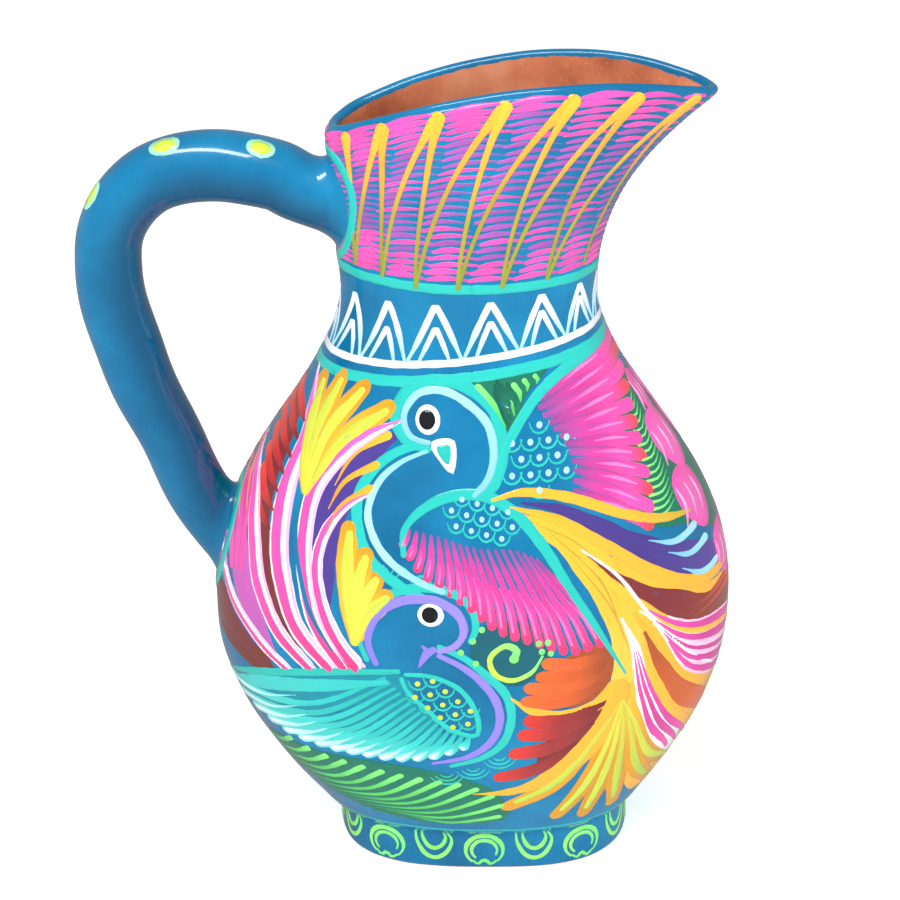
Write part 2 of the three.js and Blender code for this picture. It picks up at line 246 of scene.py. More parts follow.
class Nodes:
    """A material's node tree, with short calls to add and join nodes."""

    def __init__(self, name):
        self.material = bpy.data.materials.new(name)
        self.material.use_nodes = True
        self.tree = self.material.node_tree
        self.shader = self.tree.nodes["Principled BSDF"]

    def add(self, kind, settings=None, **inputs):
        node = self.tree.nodes.new("ShaderNode" + kind)
        for key, value in (settings or {}).items():
            setattr(node, key, value)
        for key, value in inputs.items():
            self.put(node, key.replace("_", " "), value)
        return node

    def put(self, node, key, value):
        socket = node.inputs[int(key[1:])] if key[0] == "#" else node.inputs[key]
        if isinstance(value, bpy.types.NodeSocket):
            self.tree.links.new(value, socket)
        else:
            socket.default_value = value

    def math(self, operation, a, b=0.0, c=0.0):
        node = self.add("Math", {"operation": operation})
        for i, value in enumerate((a, b, c)):
            self.put(node, f"#{i}", value)
        return node.outputs[0]

    def blend(self, share, a, b, kind="MIX"):
        node = self.add("Mix", {"data_type": "RGBA", "blend_type": kind})
        self.put(node, "#0", share)
        self.put(node, "#6", a)
        self.put(node, "#7", b)
        return node.outputs[2]

    def ramp(self, share, stops):
        node = self.add("ValToRGB")
        ramp = node.color_ramp
        while len(ramp.elements) < len(stops):
            ramp.elements.new(0.5)
        for element, (place, colour) in zip(ramp.elements, stops):
            element.position = place
            element.color = colour
        self.put(node, "#0", share)
        return node.outputs[0]

    def attribute(self, name, output="Fac"):
        return self.add("Attribute", {"attribute_name": name}).outputs[output]

    def noise(self, scale, detail=3.0, vector=None, **inputs):
        node = self.add("TexNoise", None, Scale=scale, Detail=detail, **inputs)
        self.put(node, "Vector", vector if vector else self.place())
        return node.outputs["Fac"]

    def place(self):
        if not hasattr(self, "coordinates"):
            self.coordinates = self.add("TexCoord").outputs["Object"]
        return self.coordinates

    def step(self, value, low, high):
        node = self.add("MapRange", {"interpolation_type": "SMOOTHSTEP"})
        for i, number in enumerate((value, low, high, 0.0, 1.0)):
            self.put(node, f"#{i}", number)
        return node.outputs[0]

    def bumps(self, *layers):
        """Bump nodes in a chain, each (height, distance in mm, strength)."""
        normal = None
        for height, distance, strength in layers:
            node = self.add("Bump", None, Strength=strength, Distance=distance * MM)
            self.put(node, "Height", height)
            if normal:
                self.put(node, "Normal", normal)
            normal = node.outputs[0]
        self.put(self.shader, "Normal", normal)

    def finish(self, **sockets):
        for key, value in sockets.items():
            self.put(self.shader, key.replace("_", " "), value)
        return self.material


def grey(value):
    return (value, value, value, 1)


# The fourth colour, 00486E, is painted shade: the darker blue that the handle's paint is turned
# towards on its side that faces the jug.
BLUE_DEEP, BLUE, BLUE_LIGHT, BLUE_PAINTED_SHADE, CLAY_DARK, CLAY, CLAY_LIGHT = (
    (*linear(code), 1)
    for code in ("005F8A", "00719F", "0883B2", "00486E", "A2583C", "CC7B57", "E09E7C")
)
SPECK = (0.005, 0.03, 0.06, 1)
# The gloss of paint under its clear coat.
VARNISH = {"Specular_IOR_Level": 0.25, "IOR": 1.5}


def blue_paint(n):
    """Colour of brushed blue paint: broad brush drift, thin patches and dark specks."""
    drift = n.noise(26, 4.0, Roughness=0.55)
    base = n.ramp(drift, [(0.3, BLUE_DEEP), (0.5, BLUE), (0.72, BLUE_LIGHT)])
    patches = n.step(n.noise(90, 5.0, Roughness=0.7), 0.62, 0.74)
    base = n.blend(n.math("MULTIPLY", patches, 0.16), base, BLUE_DEEP)
    specks = n.step(n.noise(1500, 2.0), 0.74, 0.8)
    return n.blend(n.math("MULTIPLY", specks, 0.15), base, SPECK)


def clay_colour(n):
    """Colour of unpainted fired clay: warm drift, pale bloom and fine grit."""
    drift = n.noise(34, 5.0, Roughness=0.6)
    base = n.ramp(drift, [(0.28, CLAY_DARK), (0.5, CLAY), (0.75, CLAY_LIGHT)])
    grit = n.step(n.noise(900, 3.0), 0.6, 0.72)
    return n.blend(n.math("MULTIPLY", grit, 0.4), base, CLAY_LIGHT)


def make_painted():
    """Blue paint under clear varnish, with bare clay where the attribute bare is above zero."""
    n = Nodes("painted_clay")
    edge = n.attribute("bare")
    ragged = n.math("MULTIPLY_ADD", n.noise(260, 4.0, Roughness=0.6), 1.8, -0.9)
    bare = n.step(n.math("ADD", edge, ragged), -0.15, 0.25)
    # Painted shade: the attribute deep darkens the blue towards a darker blue on the handle's side
    # that faces the jug.
    blue = n.blend(n.attribute("deep"), blue_paint(n), BLUE_PAINTED_SHADE)
    colour = n.blend(bare, blue, clay_colour(n))
    rough = n.math("MULTIPLY_ADD", n.noise(420, 4.0), 0.16, 0.2)
    rough = n.math("MULTIPLY_ADD", bare, 0.45, rough)
    varnish = n.math("MULTIPLY_ADD", bare, -0.85, 0.9)
    n.bumps(
        (n.noise(48, 3.0), 0.9, 0.22),
        (n.noise(330, 4.0), 0.1, 0.08),
        (n.step(n.noise(1300, 2.0), 0.72, 0.8), 0.04, 0.15),
    )
    return n.finish(
        Base_Color=colour,
        Roughness=rough,
        Coat_Weight=varnish,
        Coat_Roughness=0.06,
        **VARNISH,
    )


def make_clay():
    """Bare fired clay, dry and gritty."""
    n = Nodes("bare_clay")
    n.bumps((n.noise(60, 3.0), 1.4, 0.35), (n.noise(600, 4.0), 0.3, 0.6))
    rough = n.math("MULTIPLY_ADD", n.noise(200, 3.0), 0.2, 0.68)
    return n.finish(Base_Color=clay_colour(n), Roughness=rough)


PAINTED = make_painted()
BARE = make_clay()


# ---------------------------------------------------------------- the body

COLUMNS = 288
ROUND = np.arange(COLUMNS) * 360 / COLUMNS
BARE_LIP = 0.6
# The attribute bare: below zero the clay is painted, above zero it is bare.
ALL_PAINT, ALL_BARE = -9.0, 9.0


def body_rows():
    """Rows of the body's closed profile: rise, grow, lift and how bare the clay is there."""
    rows = [(rise, 0, 0, ALL_PAINT) for rise in np.linspace(FOOT_TOP, RIM_LEVEL - LIP_DROP, 146)]
    for near in np.linspace(0.2, 1, 5):
        rows.append((RIM_LEVEL - LIP_DROP * (1 - near), -LIP_ROUND * near**2, 0, ALL_PAINT))
    lip = (WALL - LIP_ROUND) / 2
    for turn in np.linspace(0, np.pi, 14)[1:]:
        grow, lift = -LIP_ROUND - lip * (1 - np.cos(turn)), lip * np.sin(turn)
        rows.append((RIM_LEVEL, grow, lift, -BARE_LIP - lift + 0.1 * WALL))
    for rise in np.linspace(RIM_LEVEL, FOOT_TOP + WALL, 80)[1:]:
        rows.append((rise, -WALL, 0, RIM_LEVEL - rise - BARE_LIP))
    return rows


def make_body():
    """The body as one closed wall: up the outside, over the lip and down the inside."""
    rows, bare, step = [], [], 0.5
    for rise, grow, lift, bareness in body_rows():
        slope = 1.0
        if grow < 0 and rise < NECK_LEVEL:
            low, high = section(rise - step), section(rise + step)
            slope = math.hypot(1, (high[0] + high[1] - low[0] - low[1]) / (2 * step))
        rows.append(body_point(ROUND, rise, grow * slope, lift))
        bare.append(bareness)
    for height in (FOOT_TOP + WALL, FOOT_TOP):
        rows.append(foot_point(ROUND, height, -FOOT_WALL))
        bare.append(ALL_BARE)
    faces = grid_faces(len(rows), COLUMNS, close_rows=True)
    piece = make_piece("body", rows, faces, PAINTED)
    set_points(piece.data, "bare", "FLOAT", np.repeat(bare, COLUMNS))
    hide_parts("front_half", "back_half")


def make_foot():
    """The foot ring: painted outside, bare below and inside."""
    top = FOOT_TOP - 0.02
    rings = [(rise, 0, -rise) for rise in np.linspace(top, FOOT_EDGE, 16)]
    for turn in np.linspace(0, np.pi / 2, 8)[1:]:
        height = FOOT_EDGE * (1 - np.sin(turn))
        rings.append((height, FOOT_EDGE * (1 - np.cos(turn)), 0.4 - height))
    rings += [(0, FOOT_WALL, ALL_BARE), (top, FOOT_WALL, ALL_BARE)]
    rows = [foot_point(ROUND, height, -inset) for height, inset, _ in rings]
    faces = grid_faces(len(rows), COLUMNS, close_rows=True)
    piece = make_piece("foot", rows, faces, PAINTED)
    set_points(piece.data, "bare", "FLOAT", np.repeat([ring[2] for ring in rings], COLUMNS))
    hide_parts("foot_ring")


def make_floor_slab():
    """The slab that closes the foot, pressed in by hand, a little uneven below."""
    edge, gap = 0.8, 0.3
    outline = foot_point(ROUND, 0.0, -FOOT_WALL - gap)
    rings = []
    shares = np.linspace(0.08, 1, 14)
    for share in shares:
        x, y = (outline * share)[:, :2].T
        ripple = 0.25 * (1 + np.sin(0.21 * x + 1) * np.cos(0.17 * y))
        rings.append((share, ripple * (1 - share) + 0.15))
    rings += [(1, edge), (1, SLAB_TOP - edge)]
    rings += [(share, SLAB_TOP - 0.1) for share in shares[::-1]]
    rows = []
    for share, height in rings:
        rows.append(outline * share)
        rows[-1][:, 2] = height
    faces = grid_faces(len(rows), COLUMNS)
    last = (len(rows) - 1) * COLUMNS
    faces += [tuple(range(COLUMNS))[::-1], tuple(range(last, last + COLUMNS))]
    piece = make_piece("floor", rows, faces, BARE)
    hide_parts("floor_slab")


# ---------------------------------------------------------------- the handle

HANDLE_POINTS = (
    (-41.7, 232), (-61.7, 238.7), (-69.7, 243.1), (-89.2, 246.2), (-110.9, 241.7), (-124.4, 225),
    (-126.6, 209), (-120.3, 178.6), (-108.1, 148.1), (-96.5, 122), (-81.5, 102),
)
HANDLE_TOP, HANDLE_LOW = 24.6, 22.4
HANDLE_COLUMNS = 96
HANDLE_ROUND = np.arange(HANDLE_COLUMNS) * 360 / HANDLE_COLUMNS


def lengths(points):
    """Distance of each point along the line through all of them."""
    return np.concatenate([[0], np.cumsum(np.linalg.norm(np.diff(points, axis=0), axis=1))])


def unit(vectors):
    return vectors / (np.linalg.norm(vectors, axis=-1)[..., None] + 1e-12)


def spline(points, count):
    """Evenly spaced points of a Catmull-Rom curve through the points (centripetal)."""
    points = np.asarray(points, float)
    padded = np.vstack([2 * points[0] - points[1], points, 2 * points[-1] - points[-2]])
    gaps = np.maximum(np.linalg.norm(np.diff(padded, axis=0), axis=1), 1e-6)
    knots = np.concatenate([[0], np.cumsum(gaps**0.5)])
    samples = []
    for i in range(1, len(padded) - 2):
        t = np.linspace(knots[i], knots[i + 1], 24, endpoint=False)[:, None]
        p, k = padded[i - 1 : i + 3], knots[i - 1 : i + 3]

        def between(low, high, start, end):
            return mix(start, end, (t - k[low]) / (k[high] - k[low]))

        a = [between(j, j + 1, p[j], p[j + 1]) for j in range(3)]
        b = [between(j, j + 2, a[j], a[j + 1]) for j in range(2)]
        samples.append(between(1, 2, *b))
    samples = np.vstack([*samples, points[-1:]])
    along = lengths(samples)
    wanted = np.linspace(0, along[-1], count)
    return np.stack([np.interp(wanted, along, samples[:, k]) for k in range(samples.shape[1])], -1)


def handle_line(share):
    """Centre point, unit direction and half thickness of the handle at a share of its length."""
    line = spline(HANDLE_POINTS, 400)
    grid = np.linspace(0, 1, 400)
    x, z = (np.interp(share, grid, line[:, k]) for k in (0, 1))
    slope = unit(np.gradient(line, axis=0))
    dx, dz = (np.interp(share, grid, slope[:, k]) for k in (0, 1))
    return x, z, dx, dz, mix(HANDLE_TOP, HANDLE_LOW, share) / 2


def handle_point(turn, share, grow=0.0):
    """The point of the handle's skin: turn is 0 towards the front (-Y), 90 on its outer side."""
    turn, share = np.broadcast_arrays(np.asarray(turn, float), np.asarray(share, float))
    a = np.radians(turn)
    x, z, dx, dz, half = handle_line(share)
    rolled = 0.28 * np.sin(19 * share + 2 * a) + 0.2 * np.sin(41 * share - a) - 0.35
    reach = half + grow + rolled
    out = reach * np.sin(a)
    return np.stack([x + dz * out, -reach * np.cos(a), z - dx * out], axis=-1)


def body_value(point, grow=0.0):
    """Below zero inside the body grown by grow, above zero outside."""
    x, y, z = np.moveaxis(point, -1, 0)
    rise = z
    for _ in range(8):
        centre, half, deep, power = section(rise)[:4]
        rise = rise_at(bend(np.clip((x - centre) / (half + grow), -1, 1), 1 / power), z)
    centre, half, deep, power, _, back, _ = section(rise)
    turn = np.degrees(np.arctan2((x - centre) / half, -y / deep))
    grow = grow + hand_wobble(turn, rise)
    wide = np.abs((x - centre) / (half + grow)) ** (2 / power)
    return wide + np.abs(y / (deep + grow)) ** (2 / back) - 1


def meet_body(turns, low, high, grow):
    """Share along the handle at which each of its skin lines enters the body."""
    low, high = np.full(turns.shape, low), np.full(turns.shape, high)
    for _ in range(34):
        middle = (low + high) / 2
        outside = body_value(handle_point(turns, middle), grow) > 0
        low = np.where(outside, low, middle)
        high = np.where(outside, middle, high)
    return (low + high) / 2


def handle_painted_shade(turns):
    """Painted shade round the handle: its blue is darkest on the side that faces the jug."""
    return 0.9 * smooth(np.clip(0.56 - 0.6 * np.sin(np.radians(turns)), 0, 1))


def make_handle():
    """The rolled coil. Its ends stop half way through the body's wall."""
    first = meet_body(HANDLE_ROUND, 0.0, 0.3, -0.5 * WALL)
    last = meet_body(HANDLE_ROUND, 1.0, 0.7, -0.5 * WALL)
    rows = [handle_point(HANDLE_ROUND, mix(first, last, share)) for share in np.linspace(0, 1, 220)]
    faces = grid_faces(len(rows), HANDLE_COLUMNS)
    end = (len(rows) - 1) * HANDLE_COLUMNS
    near, far = end + HANDLE_COLUMNS, end + HANDLE_COLUMNS + 1
    for j in range(HANDLE_COLUMNS):
        k = (j + 1) % HANDLE_COLUMNS
        faces += [(near, k, j), (far, end + j, end + k)]
    # Painted shade on the coil, darkest on its side that faces the jug; its two hidden end points
    # get half of it.
    deep = np.concatenate([np.tile(handle_painted_shade(HANDLE_ROUND), len(rows)), [0.5, 0.5]])
    rows.append(np.stack([rows[0].mean(0), rows[-1].mean(0)]))
    piece = make_piece("handle_coil", rows, faces, PAINTED)
    set_points(piece.data, "bare", "FLOAT", np.full(len(deep), ALL_PAINT))
    set_points(piece.data, "deep", "FLOAT", deep)
    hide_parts("handle")


def onto_body(point, grow=0.0):
    """Points moved square to the body until they lie on it."""
    step = 0.05
    for _ in range(6):
        value = body_value(point, grow)
        beside = [body_value(point + step * axis, grow) for axis in np.eye(3)]
        slope = (np.stack(beside, -1) - value[..., None]) / step
        point = point - slope * (value / (slope**2).sum(-1))[..., None]
    return point


def off_axis(corner, share):
    """Unit directions from the handle's centre line to points of its skin."""
    x, z = handle_line(share)[:2]
    return unit(corner - np.stack([x, np.zeros_like(x), z], -1))


def make_collar(name, node, inner, outer, along, spread):
    """Soft clay smoothed from the handle on to the body round one joint."""
    skin, deep, steps = -0.08, -1.2, 12
    joint = meet_body(HANDLE_ROUND, inner, outer, 0.0)
    corner = handle_point(HANDLE_ROUND, joint)
    beyond = joint + np.sign(outer - inner) * along / lengths(spline(HANDLE_POINTS, 200))[-1]
    start = handle_point(HANDLE_ROUND, beyond, skin)
    end = onto_body(corner + spread * off_axis(corner, joint), skin)
    rows = []
    for share in np.linspace(0, 1, steps):
        rows.append((1 - share) ** 2 * start + 2 * share * (1 - share) * corner + share**2 * end)
    rows.append(onto_body(end, deep))
    rows.append(onto_body(handle_point(HANDLE_ROUND, joint, deep), deep))
    rows.append(handle_point(HANDLE_ROUND, beyond, deep))
    faces = grid_faces(len(rows), HANDLE_COLUMNS, close_rows=True)
    piece = make_piece(name, rows, faces, PAINTED)
    set_points(piece.data, "bare", "FLOAT", np.full(len(rows) * HANDLE_COLUMNS, ALL_PAINT))
    # The handle's painted shade goes on into the collar and fades out towards the body.
    fade = np.concatenate([np.linspace(1, 0, steps), [0, 0, 0]])
    set_points(piece.data, "deep", "FLOAT", np.outer(fade, handle_painted_shade(HANDLE_ROUND)).ravel())
    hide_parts(node)


make_body()
make_foot()
make_floor_slab()
make_handle()
make_collar("collar_neck", "upper_collar", 0.0, 0.3, 9.0, 5.0)
make_collar("collar_belly", "lower_collar", 1.0, 0.7, 8.0, 4.0)


# ---------------------------------------------------------------- brush strokes

TEAL, SKY, PALE, WHITE = "27BFB4", "86CCE8", "A9E3F5", "F2F5FA"
PINK, HOT, MAGENTA, PLUM = "F952AE", "FF3E86", "D63F9C", "9A4C9E"
YELLOW, OCHRE, LIME, LEAF, GREEN = "FDB836", "DB9A22", "C9EC48", "83EE7C", "17745C"
VIOLET, PURPLE = "8B7FF2", "4A3A8C"
RED, MAROON, ORANGE, RUST = "F0402F", "7C2F33", "F26A2C", "A8502A"
BLACK = "101418"

# A stroke's steep edge is EDGE_WIDTH wide and ends SUNK below the skin. Strokes wider than
# WIDE_STROKE have more points across. Each layer of paint stands PAINT_STEP above the last.
EDGE_WIDTH = 0.14
WIDE_STROKE = 6.0
SUNK = 0.05
PAINT_STEP = 0.07
# Where x on the front stops being read off and goes on along the skin, as a share of the width.
SIDE = 0.985
# Degrees of turn are spaced as if each were this many millimetres.
TURN_LENGTH = 1.3
OCTAGON = np.arange(8) * np.pi / 4
BODY_LIMITS = (FOOT_TOP + 0.4, RIM_LEVEL)


def front(points):
    """(turn, rise) of points (x, z) seen on the front. Past an edge, x goes on along the skin."""
    x, z = np.asarray(points, float).T
    turn, rise = where(x, z)
    centre, half, deep = section(rise)[:3]
    past = np.clip(np.abs(x - centre) / half - SIDE, 0, None) * half
    return turn + np.sign(x - centre) * np.degrees(past / deep), rise


def back(points):
    """The mirror image of front on the other side of the seam."""
    turn, rise = front(points)
    return 180 - turn, rise


def as_given(points):
    """Points that are already (turn, rise)."""
    return tuple(np.asarray(points, float).T)


def mirrored(points):
    """(turn, rise) points, carried over to the back."""
    turn, rise = as_given(points)
    return 180 - turn, rise


def bowed(root, tip, across=0.5, up=0.5, dx=0.0, dz=0.0):
    """A path from root to tip through a point part of the way along, moved aside."""
    return [root, (mix(root[0], tip[0], across) + dx, mix(root[1], tip[1], up) + dz), tip]


def part_way(roots, tips, count, low, high, low_dz=0.0, high_dz=0.0):
    """Root line and tip line of streaks that cover part of a fan's strokes, and their count."""
    roots, tips = spline(roots, count), spline(tips, count)
    return mix(roots, tips, low) + [0, low_dz], mix(roots, tips, high) + [0, high_dz], count


def eased(values, share):
    """Values at even spacing, joined smoothly."""
    values = np.asarray(values, float)
    at = np.clip(share, 0, 1) * (len(values) - 1)
    low = np.minimum(at.astype(int), len(values) - 2)
    local = smooth(at - low)
    if values.ndim > 1:
        local = local[:, None]
    return mix(values[low], values[low + 1], local)


class Brushwork:
    """One piece of joined brush strokes. Every stroke is a thin closed ridge of paint."""

    def __init__(self, name, place=as_given, surface=skin_point, limits=BODY_LIMITS):
        self.name, self.place, self.surface, self.limits = name, place, surface, limits
        self.vertices, self.faces, self.colours, self.grain = [], [], [], []
        self.count = self.number = 0

    def put(self, vertices, faces, colours, grain):
        """Adds one closed shape to the piece."""
        self.vertices.append(vertices)
        self.faces += [tuple(k + self.count for k in face) for face in faces]
        self.colours.append(colours)
        self.grain.append(grain)
        self.count += len(vertices)
        self.number += 1

    def height(self, layer):
        """How thick the paint is. Strokes of one layer that cross differ a little."""
        return 0.06 + PAINT_STEP * layer + 0.012 * (self.number % 5)

    def grain_shift(self):
        """Moves each stroke's grain, so that no two strokes show the same streaks."""
        return 7.3 * (self.number % 97)

    def tone(self, codes, share):
        """Colours along a stroke, each stroke a touch lighter or darker than the next."""
        colours = np.array([linear(c) for c in codes])
        if len(colours) == 1:
            colours = np.repeat(colours, 2, axis=0)
        touch = 1 + 0.07 * math.sin(2.399 * self.number)
        return np.clip(eased(colours, share) * touch, 0, 1)

    def strokes(self, *rows):
        """Strokes given as (layer, widths, tones, path)."""
        for layer, widths, tones, path in rows:
            self.stroke(path, widths, tones, layer)

    def stroke(self, path, widths, tones, layer=1, step=2.0):
        """A stroke along points of the piece's place, with full widths and tones along it."""
        turn, rise = self.place(path)
        line = spline(np.stack([turn * TURN_LENGTH, rise], -1), 90)
        turn, rise = line[:, 0] / TURN_LENGTH, line[:, 1]
        along = lengths(self.surface(turn, rise))
        length = along[-1]
        widths = np.atleast_1d(np.asarray(widths, float))
        if len(widths) == 1:
            widths = np.repeat(widths, 2)
        caps = [min(0.5 * width, 0.45 * length) for width in (widths[0], widths[-1])]
        bends = 1 - np.cos(np.linspace(0, np.pi / 2, 6))
        inner = np.linspace(caps[0], length - caps[1], max(3, int(length / step)))
        places = np.concatenate([bends[:-1] * caps[0], inner, length - bends[-2::-1] * caps[1]])
        turn, rise = (np.interp(places, along, v) for v in (turn, rise))
        share = places / length
        width = eased(widths, share)
        for cap, distance in zip(caps, (places, length - places)):
            width = width * np.sqrt(1 - (1 - np.clip(distance / max(cap, 1e-6), 0.02, 1)) ** 2)
        wander = 0.6 * np.sin(places * 0.9 + self.number) + 0.4 * np.sin(places * 2.3)
        half = 0.5 * width + np.minimum(0.04 * width, 0.1) * wander
        self.ribbon(turn, rise, places, half, self.tone(tones, share), self.height(layer))

    def ribbon(self, turn, rise, places, half, tones, height):
        """Sweeps the stroke's low ridge along a line on the surface."""
        e = 0.05
        by_turn = (self.surface(turn + e, rise) - self.surface(turn - e, rise)) / (2 * e)
        by_rise = (self.surface(turn, rise + e) - self.surface(turn, rise - e)) / (2 * e)
        apart = places + 1e-6 * np.arange(len(places))
        ahead = np.gradient(self.surface(turn, rise), apart, axis=0)
        normal = np.cross(by_turn, by_rise)
        side = unit(np.cross(normal, ahead))
        tt, rr = (by_turn**2).sum(1), (by_rise**2).sum(1)
        tr = (by_turn * by_rise).sum(1)
        bt, br = (side * by_turn).sum(1), (side * by_rise).sum(1)
        det = tt * rr - tr * tr
        per_turn, per_rise = (bt * rr - br * tr) / det, (br * tt - bt * tr) / det
        # Across the stroke: two sunk edges, and between them a low dome with steep sides.
        between = np.linspace(1, -1, 9 if 2 * half.max() > WIDE_STROKE else 5)
        inset = 1 - np.minimum(0.1, EDGE_WIDTH / np.maximum(half, 0.01))[:, None]
        rim = np.ones_like(inset)
        reach = half[:, None] * np.hstack([rim, inset * between, -rim])
        dome = np.concatenate([[0], 1 - 0.26 * between**4, [0]])
        turns = turn[:, None] + per_turn[:, None] * reach
        rises = np.clip(rise[:, None] + per_rise[:, None] * reach, *self.limits)
        # The ridge is as high as the paint, but no steeper than its own width allows.
        tall = np.minimum(height, 0.5 * half + 0.04)[:, None] * dome - SUNK * (dome == 0)
        vertices = self.surface(turns, rises, tall).reshape(-1, 3)
        rows, columns = turns.shape
        faces = grid_faces(rows, columns)
        faces.append(tuple(range(columns)))
        faces.append(tuple(range((rows - 1) * columns, rows * columns))[::-1])
        places = np.repeat(places, columns)
        grain = np.stack([places, reach.ravel(), np.full(len(places), self.grain_shift())], -1)
        self.put(vertices, faces, np.repeat(tones, columns, axis=0), grain)

    def fill(self, outline, tones, layer=0, centre=None, detail=2.6):
        """A flat area of paint inside a closed outline that its centre can see all of."""
        outline = np.asarray(outline, float)
        turn, rise = self.place(np.vstack([outline, outline[:3]]))
        line = spline(np.stack([turn * TURN_LENGTH, rise], -1), 900)
        # The line goes round and on past its second point. One turn of it is kept.
        half = len(line) // 2
        away = np.linalg.norm(line - [turn[1] * TURN_LENGTH, rise[1]], axis=1)
        first, last = np.argmin(away[:half]), half + np.argmin(away[half:])
        length = lengths(self.surface(line[first:last, 0] / TURN_LENGTH, line[first:last, 1]))[-1]
        points = max(14, int(length / detail))
        rings = max(3, int(length / 5 / detail))
        line = line[np.linspace(first, last, points + 1).astype(int)[:-1]]
        middle = line.mean(0)
        if centre is not None:
            middle = np.concatenate(self.place([centre])) * [TURN_LENGTH, 1]
        height = self.height(layer)
        inset = min(0.03, 2 * np.pi * EDGE_WIDTH / length)
        vertices, shares = [], [1.0, *np.linspace(1 - inset, 0.15, rings)]
        for k, share in enumerate(shares):
            ring = middle + (line - middle) * share
            rises = np.clip(ring[:, 1], *self.limits)
            lift = -SUNK if k == 0 else height
            vertices.append(self.surface(ring[:, 0] / TURN_LENGTH, rises, lift))
        vertices.append(self.surface(middle[:1] / TURN_LENGTH, middle[1:], height))
        faces = grid_faces(len(shares), points)
        hub = len(shares) * points
        for j in range(points):
            faces.append((hub - points + j, hub - points + (j + 1) % points, hub))
        faces.append(tuple(range(points))[::-1])
        # An outline that runs clockwise on the skin has its faces turned over.
        if np.cross(line, np.roll(line, -1, axis=0)).sum() < 0:
            faces = [face[::-1] for face in faces]
        vertices = np.concatenate(vertices)
        grain = vertices * 0.35 + [0, 0, self.grain_shift()]
        self.put(vertices, faces, self.tone(tones, np.linspace(0, 1, len(vertices))), grain)

    def dot(self, place, size, tone, layer=2, tall=1.0):
        """A round dab of paint. Size is its width, tall its height against its width."""
        across, up = 0.5 * size * np.cos(OCTAGON), 0.5 * size * tall * np.sin(OCTAGON)
        outline = np.stack([place[0] + across, place[1] + up], -1)
        self.fill(outline, [tone], layer, centre=place, detail=0.14 * size + 0.2)

    def fan(self, roots, tips, count, widths, tones, bow=0.0, layer=1, turn_tips=None):
        """Strokes spread from a line of roots to a line of tips, each bowed to one side."""
        roots, tips = spline(roots, count), spline(tips, count)
        for k, (root, tip) in enumerate(zip(roots, tips)):
            gap = tip - root
            middle = (root + tip) / 2 + bow * np.array([-gap[1], gap[0]])
            used = list(tones)
            if turn_tips and k % 2:
                used[-1] = turn_tips
            self.stroke([root, middle, tip], widths, used, layer)

    def scales(self, centre, size, tilt, pitch, tone, dot_tone, layer=1):
        """Overlapping scales with a dot in each, inside a tilted oval."""
        cos, sin = math.cos(math.radians(tilt)), math.sin(math.radians(tilt))
        rows, reach = int(2 * size[1] / (0.8 * pitch)) + 1, 0.56 * pitch
        for r in range(-rows, rows + 1):
            for c in range(-12, 13):
                a, b = (c + 0.5 * (r % 2)) * pitch, r * 0.78 * pitch
                if (a / size[0]) ** 2 + (b / size[1]) ** 2 > 1:
                    continue
                x, z = centre[0] + a * cos - b * sin, centre[1] + a * sin + b * cos
                arc = [
                    (x + reach * math.cos(t), z + 0.5 * reach - 1.05 * reach * math.sin(t))
                    for t in np.linspace(0, np.pi, 5)
                ]
                self.stroke(arc, (0.5, 0.9, 0.5), [tone], layer, step=1.4)
                self.dot((x, z + 0.1 * pitch), 0.34 * pitch, dot_tone, layer + 1)

    def arcs(self, centre, radii, start, end, width):
        """Nested teal arcs, such as small scallops. Angles in degrees from +x."""
        a = np.radians(np.linspace(start, end, 6))
        for radius in radii:
            path = np.stack([centre[0] + radius * np.cos(a), centre[1] + radius * np.sin(a)], -1)
            self.stroke(path, (0.4, width, 0.4), [TEAL], 0, step=1.4)

    def finish(self):
        """Makes the piece."""
        piece = make_piece(self.name, self.vertices, self.faces, PAINT)
        colours = np.concatenate(self.colours)
        colours = np.hstack([colours, np.ones((len(colours), 1))])
        set_points(piece.data, "paint", "FLOAT_COLOR", colours)
        set_points(piece.data, "grain", "FLOAT_VECTOR", np.concatenate(self.grain))


def lay(paint, name, *surface):
    """Makes one piece of brushwork with a function that paints it."""
    brush = Brushwork(name, *surface)
    paint(brush)
    brush.finish()


# ---------------------------------------------------------------- the neck's bands

CHEVRONS = 15
HATCH_ROWS = 25
HATCH_COLUMNS = 18
RING_LEVEL = 214.3
ZIGZAG_TOPS = (
    (-46, 265.5), (-33, 270.5), (-14.5, 276.5), (7.5, 279.5), (30, 281), (51.5, 279.5), (71, 274.5)
)
ZIGZAG_FEET = (
    (-43.5, 217), (-34.5, 215.5), (-23, 213.5), (-9, 214), (5.5, 214.5), (20.5, 215.5), (33, 217)
)


def neck_rise(turn, z):
    """Rise of the level height z of the neck, at a turn."""
    return rise_at(np.sin(np.radians(turn)), z)


def ring_path(rise_of):
    """A path once round the jug. Its end lies over its start."""
    turns = np.linspace(0, 362, 49)
    return np.stack([turns, rise_of(turns)], -1)


def chevron_base(turn):
    """Rise of the white line that carries the chevrons. It is higher under the spout."""
    return 190.3 + 5.5 * np.sin(np.radians(turn))


def paint_neck_rings(brush):
    brush.strokes(
        (2, 3.4, [TEAL], ring_path(lambda t: neck_rise(t, RING_LEVEL))),
        (1, 3.8, [TEAL], ring_path(lambda t: chevron_base(t) - 5.2)),
        (2, 2.6, [WHITE], ring_path(chevron_base)),
    )


def paint_chevrons(brush):
    for k in range(CHEVRONS):
        turn = -63 + 360 / CHEVRONS * k
        base, top = chevron_base(turn) + 1, 209.5 + 2.5 * math.sin(math.radians(turn))
        for half, peak, wide in ((11.5, top, 2.3), (6.4, base + 11, 1.9)):
            for side in (-half, half):
                foot = (turn + side, chevron_base(turn + side) + 1)
                path = bowed(foot, (turn, peak), 0.54, 0.56)
                brush.stroke(path, (1.1, wide, wide), [PALE, WHITE])


